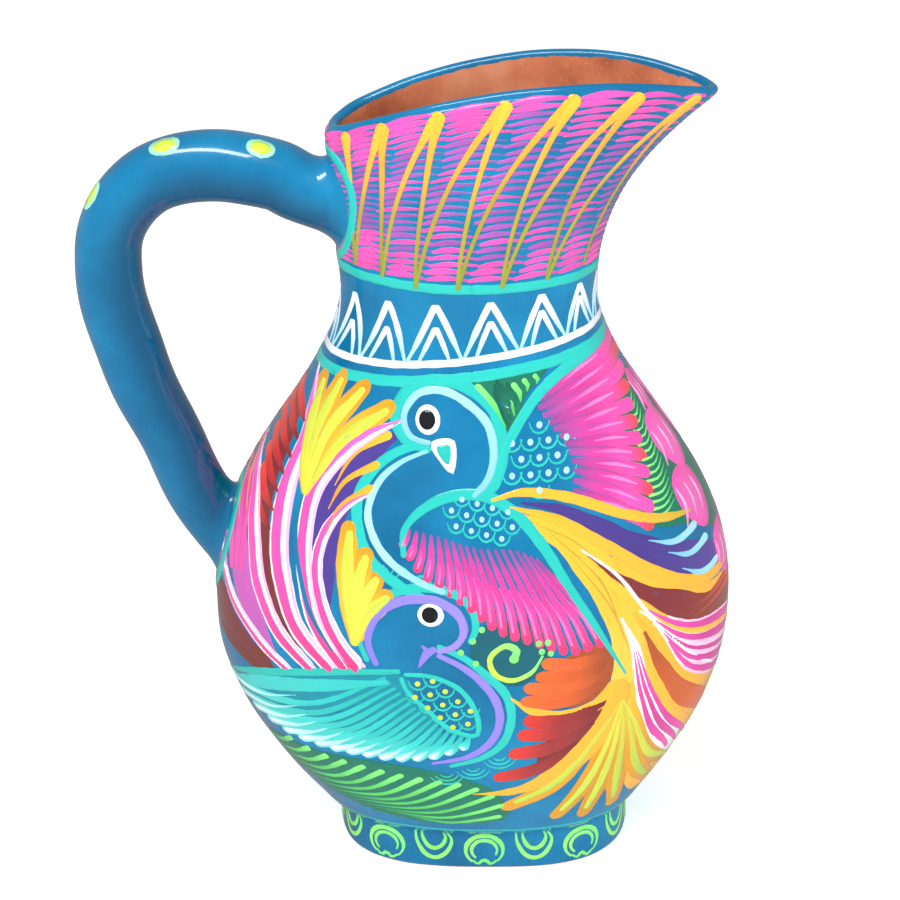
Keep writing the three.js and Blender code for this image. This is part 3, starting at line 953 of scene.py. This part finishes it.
def paint_hatching(brush):
    """Rows of short pink marks, each thick at its left and drawn out to the right."""
    pitch = 360 / HATCH_COLUMNS
    for row in range(HATCH_ROWS):
        share = row / (HATCH_ROWS - 1)
        outer = abs(2 * share - 1) ** 2.2
        for column in range(HATCH_COLUMNS):
            turn = pitch * column + 3 * math.sin(0.45 * row) + RNG.uniform(-1.6, 1.6)
            turns = turn + np.array([0, 0.3, 0.7, 1.0]) * pitch * RNG.uniform(1.0, 1.3)
            low = neck_rise(turns, RING_LEVEL + 3.3)
            rise = mix(low, RIM_LEVEL - 1.6, share) + np.array([-0.4, 0.5, 0.4, -0.5])
            bright = RNG.uniform() < outer + 0.14
            tones = [PINK, PINK, MAGENTA] if bright else ["B254B2", "9C54A8", "7560A8"]
            wide = mix(1.7, 2.5, outer) * RNG.uniform(0.8, 1.15)
            path = np.stack([turns, rise], -1)
            brush.stroke(path, (0.5 * wide, wide, 0.6 * wide, 0.3), tones, step=2.6)


def paint_zigzag(brush):
    """The long yellow zigzag between the neck's ring and the rim."""
    tones = ["8F9A3A", "A79A36", "D9A83A", YELLOW]
    for k, top in enumerate(ZIGZAG_TOPS):
        for foot in ZIGZAG_FEET[max(k - 1, 0) : k + 1]:
            brush.stroke(bowed(foot, top, 0.35), (1.5, 1.5, 1.7, 2.2, 4.6), tones, 3, step=3)


# ---------------------------------------------------------------- birds, fans and plumes


def paint_upper_bird(brush):
    """Teal outlines of head and chest with pale lines inside them, the beak and the eye."""
    brush.strokes(
        (1, (3, 4.2, 4.2, 3.6), [TEAL],
         [(-18, 163), (-27, 166), (-30, 173), (-26, 180), (-17, 184), (-6, 182), (3, 175),
          (6, 164), (4, 155), (0, 150)]),
        (1, (3, 4, 4, 3), [TEAL],
         [(-20, 165), (-29, 162), (-37, 156), (-42, 148), (-42, 137), (-37, 128), (-28, 122),
          (-16, 117)]),
        (2, (1.8, 2.8, 3, 2.4), [SKY, PALE, SKY],
         [(-18, 165), (-25, 167), (-27, 173), (-23, 179), (-15, 181), (-7, 178), (1, 171),
          (3, 162), (1, 155), (-4, 150)]),
        (2, (1.4, 2.6, 2.8, 2.2), [SKY, PALE, SKY],
         [(-19, 163), (-28, 159), (-35, 153), (-39, 144), (-37, 136), (-31, 129), (-22, 124),
          (-13, 121)]),
    )
    brush.fill([(-18.4, 165.2), (-10, 166.2), (-10.6, 156.4), (-15, 160)], [WHITE], layer=2)
    brush.fill([(-16.2, 164.2), (-11.6, 164.8), (-12, 159.2), (-14.6, 161)], [TEAL], layer=3)
    brush.dot((-19, 172), 8.4, WHITE, layer=2, tall=1.08)
    brush.dot((-19.2, 172), 5.6, BLACK, layer=3, tall=1.08)


def paint_shoulders(brush):
    """The two scaled shoulders of the upper bird, with the teal edges of their wings."""
    brush.strokes(
        (2, (2, 4, 4, 3.4, 1), [TEAL],
         [(-27, 131), (-27, 139), (-22, 145), (-12, 150), (1, 150), (10, 145), (19, 135),
          (29, 119), (40, 101), (48, 86)]),
        (2, (3, 3.6, 4.4, 3), [TEAL],
         [(3, 152), (6, 162), (12, 172), (20, 181), (31, 187), (43, 191)]),
    )
    brush.scales((-1, 143), (12.5, 5.4), -14, 5.2, TEAL, PALE)
    brush.scales((18, 160), (10.4, 11), 0, 6.0, TEAL, PALE)


def paint_pink_fans(brush):
    """The near fan below the shoulder, then the far one beside it, each with lighter streaks."""
    near = [(-25, 140), (-14, 138), (-2, 135), (10, 134), (17, 131)], [
        (-28, 134), (-22, 126), (-14, 121), (-5, 115), (5, 107), (17, 102), (30, 97), (40, 98)], 19
    far = [(16, 177), (20, 171), (26, 164), (29, 157), (29, 150)], [
        (43.5, 187), (47.5, 178), (51, 166), (55, 152), (57, 140), (57, 133)], 12
    brush.fan(*near, (1.0, 2.0, 2.9, 3.2), [PLUM, MAGENTA, "F4489E", "FF3A74"], 0.05)
    brush.fan(*part_way(*near, 0.4, 0.9), (0.4, 1.1, 0.8), [PINK, "FF7CC0"], 0.05, 2)
    tones = [PLUM, MAGENTA, PINK, PINK]
    brush.fan(*far, (2.2, 4.4, 5.2, 5.0), tones, 0.04, turn_tips="FF4A50")
    upper, lower = part_way(*far, 0.3, 0.8, 0.9, 1.1), part_way(*far, 0.1, 0.7, -1.3, -1.5)
    brush.fan(*upper, (0.4, 1.5, 0.6), ["F46CC0", "FF8ED0"], 0.04, 2)
    brush.fan(*lower, (0.4, 0.9, 0.4), ["A8509E", "C2489A"], 0.04, 2)


def paint_leaves(brush):
    """Dark green grounds with light green blades, and the lime spiral."""
    brush.fill([(-5, 185), (8, 186), (21, 187), (14, 179), (8, 168), (3, 176)], [GREEN])
    for root, tip, wide in (
        ((7, 170), (-3, 183), 2.6), ((10, 173), (5, 181), 2.3), ((12, 177), (9, 183), 2.1),
        ((14, 180), (12.5, 184), 1.9), ((17, 182), (16, 185), 1.7),
    ):
        brush.stroke(bowed(root, tip, dx=1), (0.5, wide, wide), ["4FBF5E", LEAF])
    ground = [(-77, 48), (-57, 52), (-36, 54), (-16, 52), (4, 42), (8, 27), (-14, 23), (-36, 25),
              (-58, 32), (-71, 39)]
    brush.fill(ground, [GREEN], centre=(-34, 40))
    roots = [(-76, 46), (-70, 41), (-63, 36), (-54, 32), (-46, 30), (-38, 28), (-30, 27)]
    tips = [(-67, 53), (-58, 51), (-47, 51), (-34, 50), (-18, 48), (-4, 45), (6, 37), (6, 28)]
    brush.fan(roots, tips, 14, (0.7, 1.8, 2.6), ["2E9C62", "58CC62", LEAF], -0.1)
    brush.fill([(-2, 109), (8, 112), (20, 106), (22, 97), (12, 88), (0, 92), (-5, 100)], ["135F6E"])
    coil = [(9.7, 98.4), (10.6, 101), (7, 103), (1.8, 99), (3.4, 92.8), (8.8, 90.2), (15.5, 92.6),
            (19.4, 98.6)]
    brush.stroke(coil, (3, 2, 2, 1.8, 0.8), [LEAF, LIME, LEAF], 2, step=1.2)
    brush.dot((9.7, 98.2), 3.4, LEAF, layer=3)
    for spot in (
        (-1, 109), (-4, 105), (-8, 101), (-3, 97), (18, 103), (21, 103), (19, 100), (22, 99),
    ):
        brush.dot(spot, 2.2, LEAF)


def paint_buds(brush):
    """Pink buds on a green ground with light blades, towards the spout side."""
    ground = [(66, 181), (76, 181), (85, 178), (89, 172), (90, 160), (90, 145), (90, 130),
              (86, 122), (76, 122), (62, 129), (50, 133), (45, 143), (47, 154), (53, 165),
              (60, 174)]
    brush.fill(ground, [GREEN], centre=(68, 150))
    for share in np.linspace(0, 1, 17):
        root = (mix(75, 62, share), mix(171, 138, share))
        tip = (mix(63, 49.5, share), mix(169, 136, share))
        brush.stroke(bowed(root, tip, dz=-1.6), (0.4, 0.9, 1.2), ["3FB05E", LEAF, "A8F080"], 0.3)
    for turn, rise, wide, tall in (
        (81, 168, 15, 14), (75.5, 153, 24, 18.5), (70, 134.5, 22, 19.5), (79, 112, 20, 18),
    ):
        # A bud is wider above than below.
        outline = [
            (turn + (0.42 + 0.12 * math.sin(a)) * wide * math.cos(a) + 2,
             rise + 0.55 * tall * math.sin(a))
            for a in OCTAGON
        ]
        brush.fill(outline, [PINK, "EE6CC0"], layer=2, centre=(turn, rise))
        for side in (turn - 0.26 * wide, turn, turn + 0.26 * wide):
            path = [(side - 2, rise - 0.34 * tall), (side + 1, rise), (side, rise + 0.34 * tall)]
            brush.stroke(path, (0.5, 0.11 * tall, 0.5), ["FF8AC8", "FFC0E2"], 3)


def paint_tail(brush):
    """The upper bird's tail: bands that spread from its back to the spout side."""
    ground = [(40, 128), (56, 120), (74, 108), (92, 100), (97, 82), (90, 62), (80, 46), (66, 32),
              (52, 27), (46, 45), (44, 62), (45, 80), (47, 95), (42, 112)]
    brush.fill(ground, [YELLOW], layer=-0.4, centre=(64, 80))
    brush.strokes(
        (0, (2, 8, 13, 15, 13, 9), [YELLOW, YELLOW, "FFC24A"],
         [(10, 145), (25, 137), (38, 124), (47, 108), (49, 94), (46, 80)]),
        (1, (1, 4, 7, 11, 14, 13), [PURPLE, PURPLE, "5A479C"],
         [(12, 148), (25, 145), (38, 138), (51, 129), (65, 120), (80, 112)]),
        (1, (0.6, 5, 12, 15, 14), [MAROON, MAROON, "8F3B34", RUST],
         [(34, 130), (48, 118), (63, 107), (76, 97), (88, 93)]),
        (2, (1.4, 3.4, 4, 4, 3.4, 1.4), [YELLOW, YELLOW, "C9B23A"],
         [(2, 149), (12, 151), (28, 148), (46, 140), (58, 135), (70, 132)]),
        (2, (1.4, 4, 4.6, 5, 4.6, 2), [YELLOW],
         [(8, 147), (24, 142), (40, 132), (56, 120), (70, 111), (84, 107)]),
        (2, (2, 4, 5, 6, 3), [YELLOW], [(32, 130), (46, 116), (58, 104), (72, 92), (86, 86)]),
        (0, (2, 5, 7, 7, 4), [YELLOW], [(50, 108), (58, 95), (67, 82), (76, 70), (86, 62)]),
        (1, (1.4, 6, 9.5, 9), [RUST, "C8602C", ORANGE], [(54, 100), (60, 86), (68, 70), (77, 55)]),
        (0, (2, 5, 6, 4), [YELLOW], [(52, 96), (58, 78), (65, 61), (73, 46)]),
    )
    for root, tip in (
        ((49, 112), (90, 86)), ((52, 108), (89, 80)), ((55, 105), (88, 74)), ((57, 102), (87, 69)),
        ((59, 99), (85, 64)),
    ):
        path = bowed(root, tip, dx=-1, dz=-2.5)
        brush.strokes(
            (2, (0.8, 4.2, 6, 3.4), [WHITE, "FFC4E4", WHITE], path),
            (3, (0.4, 2.2, 3.6, 1.6), [PINK, MAGENTA, PINK], path),
        )
    brush.strokes(
        (3, (0.8, 1.6, 1.8, 1.8, 1), [WHITE],
         [(32, 132), (44, 122), (54, 108), (62, 97), (71, 84), (82, 66)]),
        (1, (1, 5, 8, 12, 12), [WHITE], [(46, 107), (51, 95), (54, 80), (58, 63), (66, 40)]),
    )
    for shift in (-2.5, 0.8, 4):
        path = [(51 + 0.2 * shift, 94), (55 + 0.6 * shift, 76), (60 + shift, 60), (67 + shift, 43)]
        brush.stroke(path, (0.5, 1.8, 3.2, 2), [PINK, MAGENTA, PINK], 2)
    for root, tip in (
        ((55, 129.5), (72, 127.5)), ((62, 123.5), (76, 121.5)), ((67, 116.5), (80, 112)),
    ):
        brush.stroke(bowed(root, tip, 0.55, dz=-2.6), (0.5, 2.4, 3), ["7FC4F0", PALE], 3)
    for k in range(4):
        mark = [(70 + k, 101 - 3 * k), (78 + k, 102 - 3 * k), (86 + k, 105 - 4 * k)]
        brush.stroke(mark, (0.6, 3, 2.6), [RUST, RED])
    for line in (((14, 143), (32, 133), (45, 113)), ((20, 140), (38, 122), (47, 100)),
                 ((28, 131), (42, 112), (50, 92))):
        brush.stroke(line, (0.3, 0.8, 0.3), ["C9A23A"])


def paint_lobes(brush):
    """The tail's curled lobes below: orange, red, and the lime and ochre petals."""
    brush.fill([(42, 99), (28, 97), (18, 90), (22, 79), (35, 78), (43, 86)], [RUST])
    for root, tip in (
        ((40, 95), (19, 96)), ((41, 92), (17, 91)), ((41, 88), (13, 87)), ((40, 84), (12, 82)),
    ):
        brush.stroke(bowed(root, tip, dz=-2.6), (2, 6, 6, 4), [RUST, "D8602C", ORANGE])
    brush.stroke([(8, 84), (17, 77), (28, 74), (38, 76), (46, 84)], (0.8, 4, 6, 7), [YELLOW])
    brush.fill([(44, 78), (34, 73), (22, 66), (18, 54), (28, 52), (37, 62)], [MAROON])
    for root, tip in (
        ((42, 77), (13, 74)), ((41, 74), (11, 68)), ((38, 69), (8, 60)), ((34, 62), (3, 49)),
    ):
        brush.stroke(bowed(root, tip, dz=-3), (2, 5.4, 6.4, 5), [MAROON, "9E3434", "DC3A34"])
    hub = np.array([47, 66])
    for tip in np.array([(6, 32), (24, 24), (34, 22), (45, 23), (58, 29), (66, 35)]):
        middle, core = mix(hub, tip, np.array([0.52, 0.6])), mix(hub, tip, 0.9)
        brush.stroke([hub + [0, 14], middle, tip], (3, 7, 8.5, 6), [YELLOW, OCHRE, OCHRE])
        brush.stroke([hub + [0, 10], middle, core], (1, 2.4, 3.6, 2.6), ["D6CC46", "BEDA4A"], 3)
    brush.stroke([(47, 84), (43, 70), (34, 57), (22, 47), (10, 42), (-4, 41)],
                 (8, 10, 10, 8, 4.4, 0.6), [YELLOW], 2)


def paint_plumes(brush):
    """The lower bird's long plumes, which sweep up the handle side."""
    brush.strokes(
        (0, (6, 11, 13, 13, 11, 8, 2), [MAROON, MAROON, "93362F"],
         [(-63, 92), (-72, 106), (-76, 118), (-77, 130), (-73, 145), (-66, 160), (-61, 173)]),
        (0, (4, 11, 13, 13, 10, 3), [PURPLE],
         [(-53, 108), (-55, 124), (-53, 138), (-47, 150), (-39, 160), (-29, 167)]),
    )
    brush.fan([(-74, 84), (-71, 80)], [(-94, 103), (-95, 97), (-94, 90), (-92, 85)], 6,
              (5, 8, 7, 3), ["7A3430", MAROON], layer=-0.5)
    brush.strokes(
        (0, (5, 11, 13, 11, 5), ["B65AB0", "C95BB4", PINK],
         [(-71, 86), (-78, 97), (-83, 112), (-84, 126), (-81, 140)]),
        (0, (2, 6, 7, 3), [PURPLE], [(-78, 88), (-86, 99), (-90, 110), (-91, 122)]),
    )
    roots = [(-72, 130), (-69, 141), (-65, 152), (-60, 162)]
    tips = [(-77, 140), (-74, 150), (-69, 160), (-62, 171)]
    brush.fan(roots, tips, 7, (1.4, 4, 4.6), [MAROON, "D23830", "F4503C"], 0.18)
    for path, widths in (
        ([(-42, 91), (-50, 101), (-55, 114), (-56, 126), (-52, 137), (-45, 145), (-36, 150)],
         (8, 6.4, 5.4, 5, 4.4, 3, 0.8)),
        ([(-46, 90), (-56, 103), (-60, 118), (-60, 133), (-56, 148), (-47, 159), (-38, 166),
          (-28, 171)], (6, 6.6, 6.6, 7, 7, 6, 4.6, 1.2)),
        ([(-51, 89), (-63, 101), (-68, 116), (-69, 131), (-66, 146), (-60, 161), (-56, 179)],
         (6, 7.4, 8.6, 9, 8, 5, 0.6)),
        ([(-58, 87), (-70, 98), (-76, 111), (-78, 125), (-78, 138), (-76, 151)],
         (5, 7, 7.6, 7, 5, 0.6)),
        ([(-66, 84), (-77, 91), (-86, 100), (-91, 112), (-92, 126)], (4, 5.4, 5.4, 4, 0.8)),
    ):
        brush.stroke(path, widths, [WHITE, WHITE, "FBE3F2"])
        # Along each white plume run a wide pink stroke and a thin pale one beside it.
        path, widths = np.array(path, float), np.array(widths)
        step = np.gradient(path, axis=0)
        step /= np.linalg.norm(step, axis=1)[:, None]
        aside = 0.5 * np.stack([-step[:, 1], step[:, 0]], -1) * widths[:, None]
        for shift, wide, tones in ((0.2, 0.52, [HOT, PINK, "F86CC6"]), (-0.66, 0.16, ["F9B9E4"])):
            brush.stroke(path + shift * aside, np.maximum(wide * widths, 0.4), tones, 2)
    brush.stroke([(-51, 96), (-58, 107), (-62, 121), (-63, 134), (-61, 143)],
                 (1, 2.2, 2, 0.8), ["0F6F9E"], 3)
    for root, tip in (((-53, 134), (-37, 151)), ((-52, 142), (-35, 158)), ((-50, 149), (-31, 167))):
        path = bowed(root, tip, 0.4, 0.55, dx=-1.5)
        brush.stroke(path, (0.5, 2, 3.2), ["F59A2E", YELLOW], 2)
    for k in range(5):
        path = bowed((-83 - 2 * k, 112 - k), (-77 - 4 * k, 150 - 8 * k), dx=-1)
        brush.stroke(path, (3, 4, 1.6), [PINK, "F765B8"])
        brush.stroke(path[1:], (0.6, 1.8, 1), ["F7A24E"], 2)


def paint_petals(brush):
    """Yellow petals with lime cores beside the plumes."""
    for base, tips in (
        ((-60, 144), ((-54, 179), (-47, 182), (-39, 181), (-30, 176))),
        ((-43.5, 100), ((-45, 140), (-39, 133), (-35, 126), (-31, 120))),
    ):
        paths = [bowed(base, tip, 0.45, 0.55, dx=-1.5) for tip in tips]
        for path in paths:
            brush.stroke(path, (3, 7, 8.4, 6), ["E8B22C", YELLOW, OCHRE])
        for path, tip in zip(paths, tips):
            path[2] = (mix(base[0], tip[0], 0.93), mix(base[1], tip[1], 0.93))
            brush.stroke(path, (2, 4.2, 4.8, 2.8), ["E0DA46", "D0DE4C"], 3)


def paint_lower_bird(brush):
    """Teal outlines of crown and back, violet lines inside them, the beak and the eye."""
    brush.strokes(
        (1, (2, 3.2, 3.2, 2.4), [TEAL],
         [(-39, 95), (-42, 104), (-37, 115), (-27, 121), (-15, 122), (-6, 118), (-3, 110),
          (-5, 104)]),
        (1, (2, 3.2, 3.2, 2), [TEAL],
         [(-16, 103), (-7, 99), (1, 92), (7, 85), (9, 76), (6, 65), (-1, 59), (-12, 55)]),
        (2, (2.2, 3.4, 3.4, 2.2), [VIOLET, "9C8CF5"],
         [(-36, 94), (-39, 103), (-35, 113), (-26, 118), (-16, 118), (-9, 114), (-7, 108),
          (-10, 103), (-16, 101)]),
        (2, (1.8, 3, 3, 1.4), [VIOLET, "8C7BEA"],
         [(-16, 100), (-8, 96), (-1, 90), (4, 82), (5, 74), (2, 66), (-5, 60), (-18, 56)]),
        (3, (2.6, 3, 0.6), [VIOLET], [(-16, 102), (-19, 100.5), (-22, 95)]),
        (3, (0.8, 2.2), [VIOLET], [(-21, 103), (-19, 101)]),
    )
    brush.dot((-18, 113.5), 9, WHITE, layer=2, tall=0.88)
    brush.dot((-18.2, 113.6), 5.6, BLACK, layer=3)


def paint_wing(brush):
    """The lower bird's turquoise wing, its scaled shoulder and the scallops below."""
    ground = [(-89, 66), (-70, 81), (-50, 88), (-28, 92), (-22, 82), (-14, 68), (-28, 60),
              (-50, 59), (-70, 58)]
    brush.fill(ground, ["0F8CA0"], centre=(-45, 74))
    roots = [(-33, 90), (-30, 87), (-26, 83), (-21, 78), (-14, 73), (-8, 70), (-5, 69)]
    tips = [(-90, 65), (-86, 60), (-78, 57), (-68, 55), (-57, 55), (-44, 56), (-32, 56), (-20, 58),
            (-12, 61), (-8, 63)]
    feathers = 16
    tones = ["22B4B0", "2CC2BC", "45CEC8", "8FE6E6"]
    brush.fan(roots, tips, feathers, (1.2, 2.2, 3.7, 4.3), tones, 0.07)
    starts = part_way(roots, tips, feathers, 0.55, 1, -1.2)[0]
    ends, tones = mix(starts, spline(tips, feathers), 0.95), ["6FDCD8", "B4F2F0", "E8FBFC"]
    brush.fan(starts, ends, feathers, (0.3, 1.1, 2.2, 2.2), tones, 0.05, 3)
    brush.strokes(
        (2, (1, 3, 3, 2), [TEAL], [(-90, 67), (-70, 82), (-50, 89), (-28, 93)]),
        (1, (2, 6, 5, 2), ["45CEC8", "3CC8C2", "2CC2BC"],
         [(-88, 66), (-68, 78), (-48, 84.5), (-32, 88.5)]),
        (3, (1.6, 2, 2, 1.6), [TEAL],
         [(-27, 92), (-18, 92), (-9, 88), (-4, 81), (-2, 73), (-3, 69), (-12, 72), (-19, 79),
          (-26, 86), (-28, 91)]),
    )
    brush.scales((-14, 81), (13.5, 5.6), -42, 5.6, TEAL, LIME, layer=2)
    for centre in ((-13, 52), (-4, 55), (5, 60)):
        brush.arcs(centre, (2.4, 4.2, 6), 205, 345, 1.1)
    for centre in ((-35, 124), (-28, 124), (-21, 122)):
        brush.arcs(centre, (2, 3.8), 20, 160, 1)


# ---------------------------------------------------------------- foot and handle

FOOT_SCROLLS = 9
SCROLL_LEVEL = 8.0
FOOT_LOOP = (
    (-6.6, 15.6), (-6.2, 11.5), (-3.2, 6.0), (0.6, 4.6), (4.4, 7.0), (6.2, 12.0), (4.6, 15.2)
)
HANDLE_RISE = 300


def paint_foot(brush):
    """Lime scrolls, evenly spaced along the foot, with a hanging loop between each two."""
    turns = np.linspace(-360, 720, 1081)
    steps = np.linalg.norm(np.diff(foot_point(turns, SCROLL_LEVEL), axis=0), axis=1)
    along = np.concatenate([[0], np.cumsum(steps)])
    pitch = along[360] / FOOT_SCROLLS
    along -= np.interp(0, turns, along)

    def put(points, widths, tones):
        points = np.asarray(points, float)
        path = np.stack([np.interp(points[:, 0], along, turns), points[:, 1]], -1)
        brush.stroke(path, widths, tones, step=1.2)

    for k in range(FOOT_SCROLLS):
        centre = pitch * k
        for radius, height, stroke, start in ((6.6, 6.0, 1.9, -48), (4.5, 4.0, 1.5, -30)):
            a = np.radians(np.linspace(start, 232, 12))
            ring = np.stack([centre + radius * np.cos(a), SCROLL_LEVEL + height * np.sin(a)], -1)
            put(ring, (0.7, stroke, stroke, 0.9), [LEAF, "98EE74"])
        wave = [(centre + s, 3.2 + 0.8 * (-1) ** i) for i, s in enumerate((-4, -2, 0, 2, 4.4))]
        put(wave, (0.8, 1.5, 0.8), [LEAF])
        for size in (1.0, 0.66):
            loop = [(centre + pitch / 2 + size * x, 15.9 - size * (15.9 - z)) for x, z in FOOT_LOOP]
            put(loop, (0.8, 1.7, 1.7, 0.8), [LEAF, "98EE74", LEAF])


def paint_foot_line(brush):
    brush.stroke(ring_path(lambda turns: np.full_like(turns, FOOT_TOP + 2.4)), 1.5, ["2AA9B4"])


def locate(point):
    """(turn, rise) of points that lie on the body."""
    x, y, z = np.moveaxis(point, -1, 0)
    rise = z
    for _ in range(10):
        centre, half, deep = section(rise)[:3]
        turn = np.degrees(np.arctan2((x - centre) / half, -y / deep))
        rise = neck_rise(turn, z)
    return turn, rise


def paint_joint(name, inner, outer, spread, width):
    """A teal line painted on the body round a handle joint."""
    turns = np.linspace(0, 370, 38)
    joint = meet_body(turns, inner, outer, 0.0)
    corner = handle_point(turns, joint)
    turn, rise = locate(onto_body(corner + spread * off_axis(corner, joint)))
    brush = Brushwork(name, as_given)
    brush.stroke(np.stack([turn, rise], -1), width, [TEAL, "35C7A8", TEAL], 4)
    brush.finish()


def handle_surface(turn, rise, grow=0.0):
    """The handle's skin, with its length counted as if it were a rise."""
    return handle_point(turn, rise / HANDLE_RISE, grow)


def paint_handle(brush):
    """Lime dots with pale green rims on the top of the handle."""
    for centre in ((60, 48), (64, 84), (74, 115)):
        for wide, tall, tone, layer in ((21, 5.6, "A6F0C8", 1), (14, 3.9, LIME, 2)):
            outline = [
                (centre[0] + wide * math.cos(a), centre[1] + tall * math.sin(a)) for a in OCTAGON
            ]
            brush.fill(outline, [tone], layer, centre)


def make_paint():
    """Thick opaque paint under varnish: streaked along each stroke, thin in places."""
    n = Nodes("brush_paint")
    stretch = n.add("VectorMath", {"operation": "MULTIPLY"})
    n.put(stretch, "#0", n.attribute("grain", "Vector"))
    n.put(stretch, "#1", (0.09, 2.3, 1.0))
    streak = n.noise(1.0, 3.0, stretch.outputs[0], Roughness=0.6)
    light = n.ramp(streak, [(0.25, grey(0.8)), (0.5, grey(0.97)), (0.78, grey(1.0))])
    colour = n.blend(0.85, n.attribute("paint", "Color"), light, "MULTIPLY")
    thin = n.step(n.noise(190, 4.0, Roughness=0.65), 0.6, 0.78)
    colour = n.blend(n.math("MULTIPLY", thin, 0.3), colour, BLUE)
    n.bumps((streak, 0.05, 0.5), (n.noise(330, 4.0), 0.2, 0.25))
    rough = n.math("MULTIPLY_ADD", n.noise(420, 4.0), 0.14, 0.24)
    return n.finish(
        Base_Color=colour,
        Roughness=rough,
        Coat_Weight=0.85,
        Coat_Roughness=0.07,
        **VARNISH,
    )


PAINT = make_paint()

lay(paint_neck_rings, "neck_rings")
lay(paint_chevrons, "neck_chevrons")
lay(paint_hatching, "neck_hatching")
for tag, seen, skin in (("front", front, as_given), ("back", back, mirrored)):
    lay(paint_zigzag, "neck_zigzag_" + tag, seen)
    lay(paint_upper_bird, "upper_bird_" + tag, seen)
    lay(paint_shoulders, "shoulders_" + tag, seen)
    lay(paint_pink_fans, "pink_fans_" + tag, seen)
    lay(paint_leaves, "leaves_" + tag, seen)
    lay(paint_buds, "buds_" + tag, skin)
    lay(paint_tail, "tail_" + tag, seen)
    lay(paint_lobes, "lobes_" + tag, seen)
    lay(paint_plumes, "plumes_" + tag, seen)
    lay(paint_petals, "petals_" + tag, seen)
    lay(paint_lower_bird, "lower_bird_" + tag, seen)
    lay(paint_wing, "wing_" + tag, seen)
lay(paint_foot, "foot_scrolls", as_given, foot_point, (0.6, FOOT_TOP - 0.3))
lay(paint_foot_line, "foot_line")
paint_joint("joint_line_neck", 0.0, 0.3, 6.5, 3.6)
paint_joint("joint_line_belly", 1.0, 0.7, 7.0, 5.0)
lay(paint_handle, "handle_dots", as_given, handle_surface, (2, HANDLE_RISE - 2))


# ---------------------------------------------------------------- floor, light and camera


def make_floor():
    """A wide pale floor that sweeps up into a backdrop far from the jug."""
    reach = [0.5, 2, 4, 6, 7, 7.8, 8.4, 8.8, 9]
    height = [0, 0, 0, 0, 0.1, 0.35, 0.8, 1.4, 2.4]
    sides = 96
    a = np.linspace(0, 2 * np.pi, sides, endpoint=False)
    rows = [np.stack([r * np.cos(a), r * np.sin(a), h + 0 * a], -1) for r, h in zip(reach, height)]
    vertices = np.vstack([*rows, [[0, 0, 0]]])
    faces = [face[::-1] for face in grid_faces(len(rows), sides)]
    faces += [(j, (j + 1) % sides, len(vertices) - 1) for j in range(sides)]
    mesh = bpy.data.meshes.new("table")
    mesh.from_pydata(vertices.tolist(), [], faces)
    mesh.shade_smooth()
    ground = make_object("table", mesh)
    n = Nodes("table_white")
    tone = n.ramp(n.noise(3.0, 2.0), [(0.0, grey(0.86)), (1.0, grey(0.9))])
    mesh.materials.append(
        n.finish(Base_Color=tone, Roughness=0.6, Emission_Color=(1, 1, 1, 1), Emission_Strength=0.6)
    )
    ground.visible_glossy = False


def make_light(name, place, aim, size, power, glossy=True):
    """A soft area light in millimetres, aimed at a point."""
    data = bpy.data.lights.new(name, "AREA")
    data.shape = "RECTANGLE"
    data.size, data.size_y = (s * MM for s in size)
    data.energy = power
    lamp = make_object(name, data)
    place, aim = np.array(place, float), np.array(aim, float)
    lamp.location = place * MM
    lamp.visible_glossy = glossy
    lamp.rotation_euler = Vector(aim - place).to_track_quat("-Z", "Y").to_euler()


make_floor()
AIM = (0, 0, 140)
make_light("key", (-420, -900, 900), AIM, (700, 600), 8.5, glossy=False)
make_light("fill", (900, -500, 500), AIM, (600, 700), 4.0, glossy=False)
make_light("top", (-160, -300, 900), (-60, 0, 200), (460, 130), 3.0)

world = bpy.data.worlds.new("studio")
world.use_nodes = True
sky = world.node_tree.nodes["Background"].inputs
sky["Color"].default_value = grey(1)
sky["Strength"].default_value = 0.3
bpy.context.scene.world = world

CAMERA_TARGET = (-3.64, 0.0, 140.0)
CAMERA_DISTANCE = 994.5
CAMERA_ELEVATION = math.radians(24.48)
CAMERA_LENS, CAMERA_SENSOR = 114.8, 36.0
CAMERA_SHIFT = (-0.0266, 0.0085)

camera_data = bpy.data.cameras.new("camera")
camera_data.lens = CAMERA_LENS
camera_data.sensor_width = CAMERA_SENSOR
camera_data.shift_x, camera_data.shift_y = CAMERA_SHIFT
camera_data.clip_start, camera_data.clip_end = 0.01, 50.0
camera = make_object("camera", camera_data)
camera.location = (
    CAMERA_TARGET[0] * MM,
    -CAMERA_DISTANCE * math.cos(CAMERA_ELEVATION) * MM,
    (CAMERA_TARGET[2] + CAMERA_DISTANCE * math.sin(CAMERA_ELEVATION)) * MM,
)
camera.rotation_euler = (math.pi / 2 - CAMERA_ELEVATION, 0, 0)
bpy.context.scene.camera = camera
bpy.context.scene.view_settings.view_transform = "Standard"
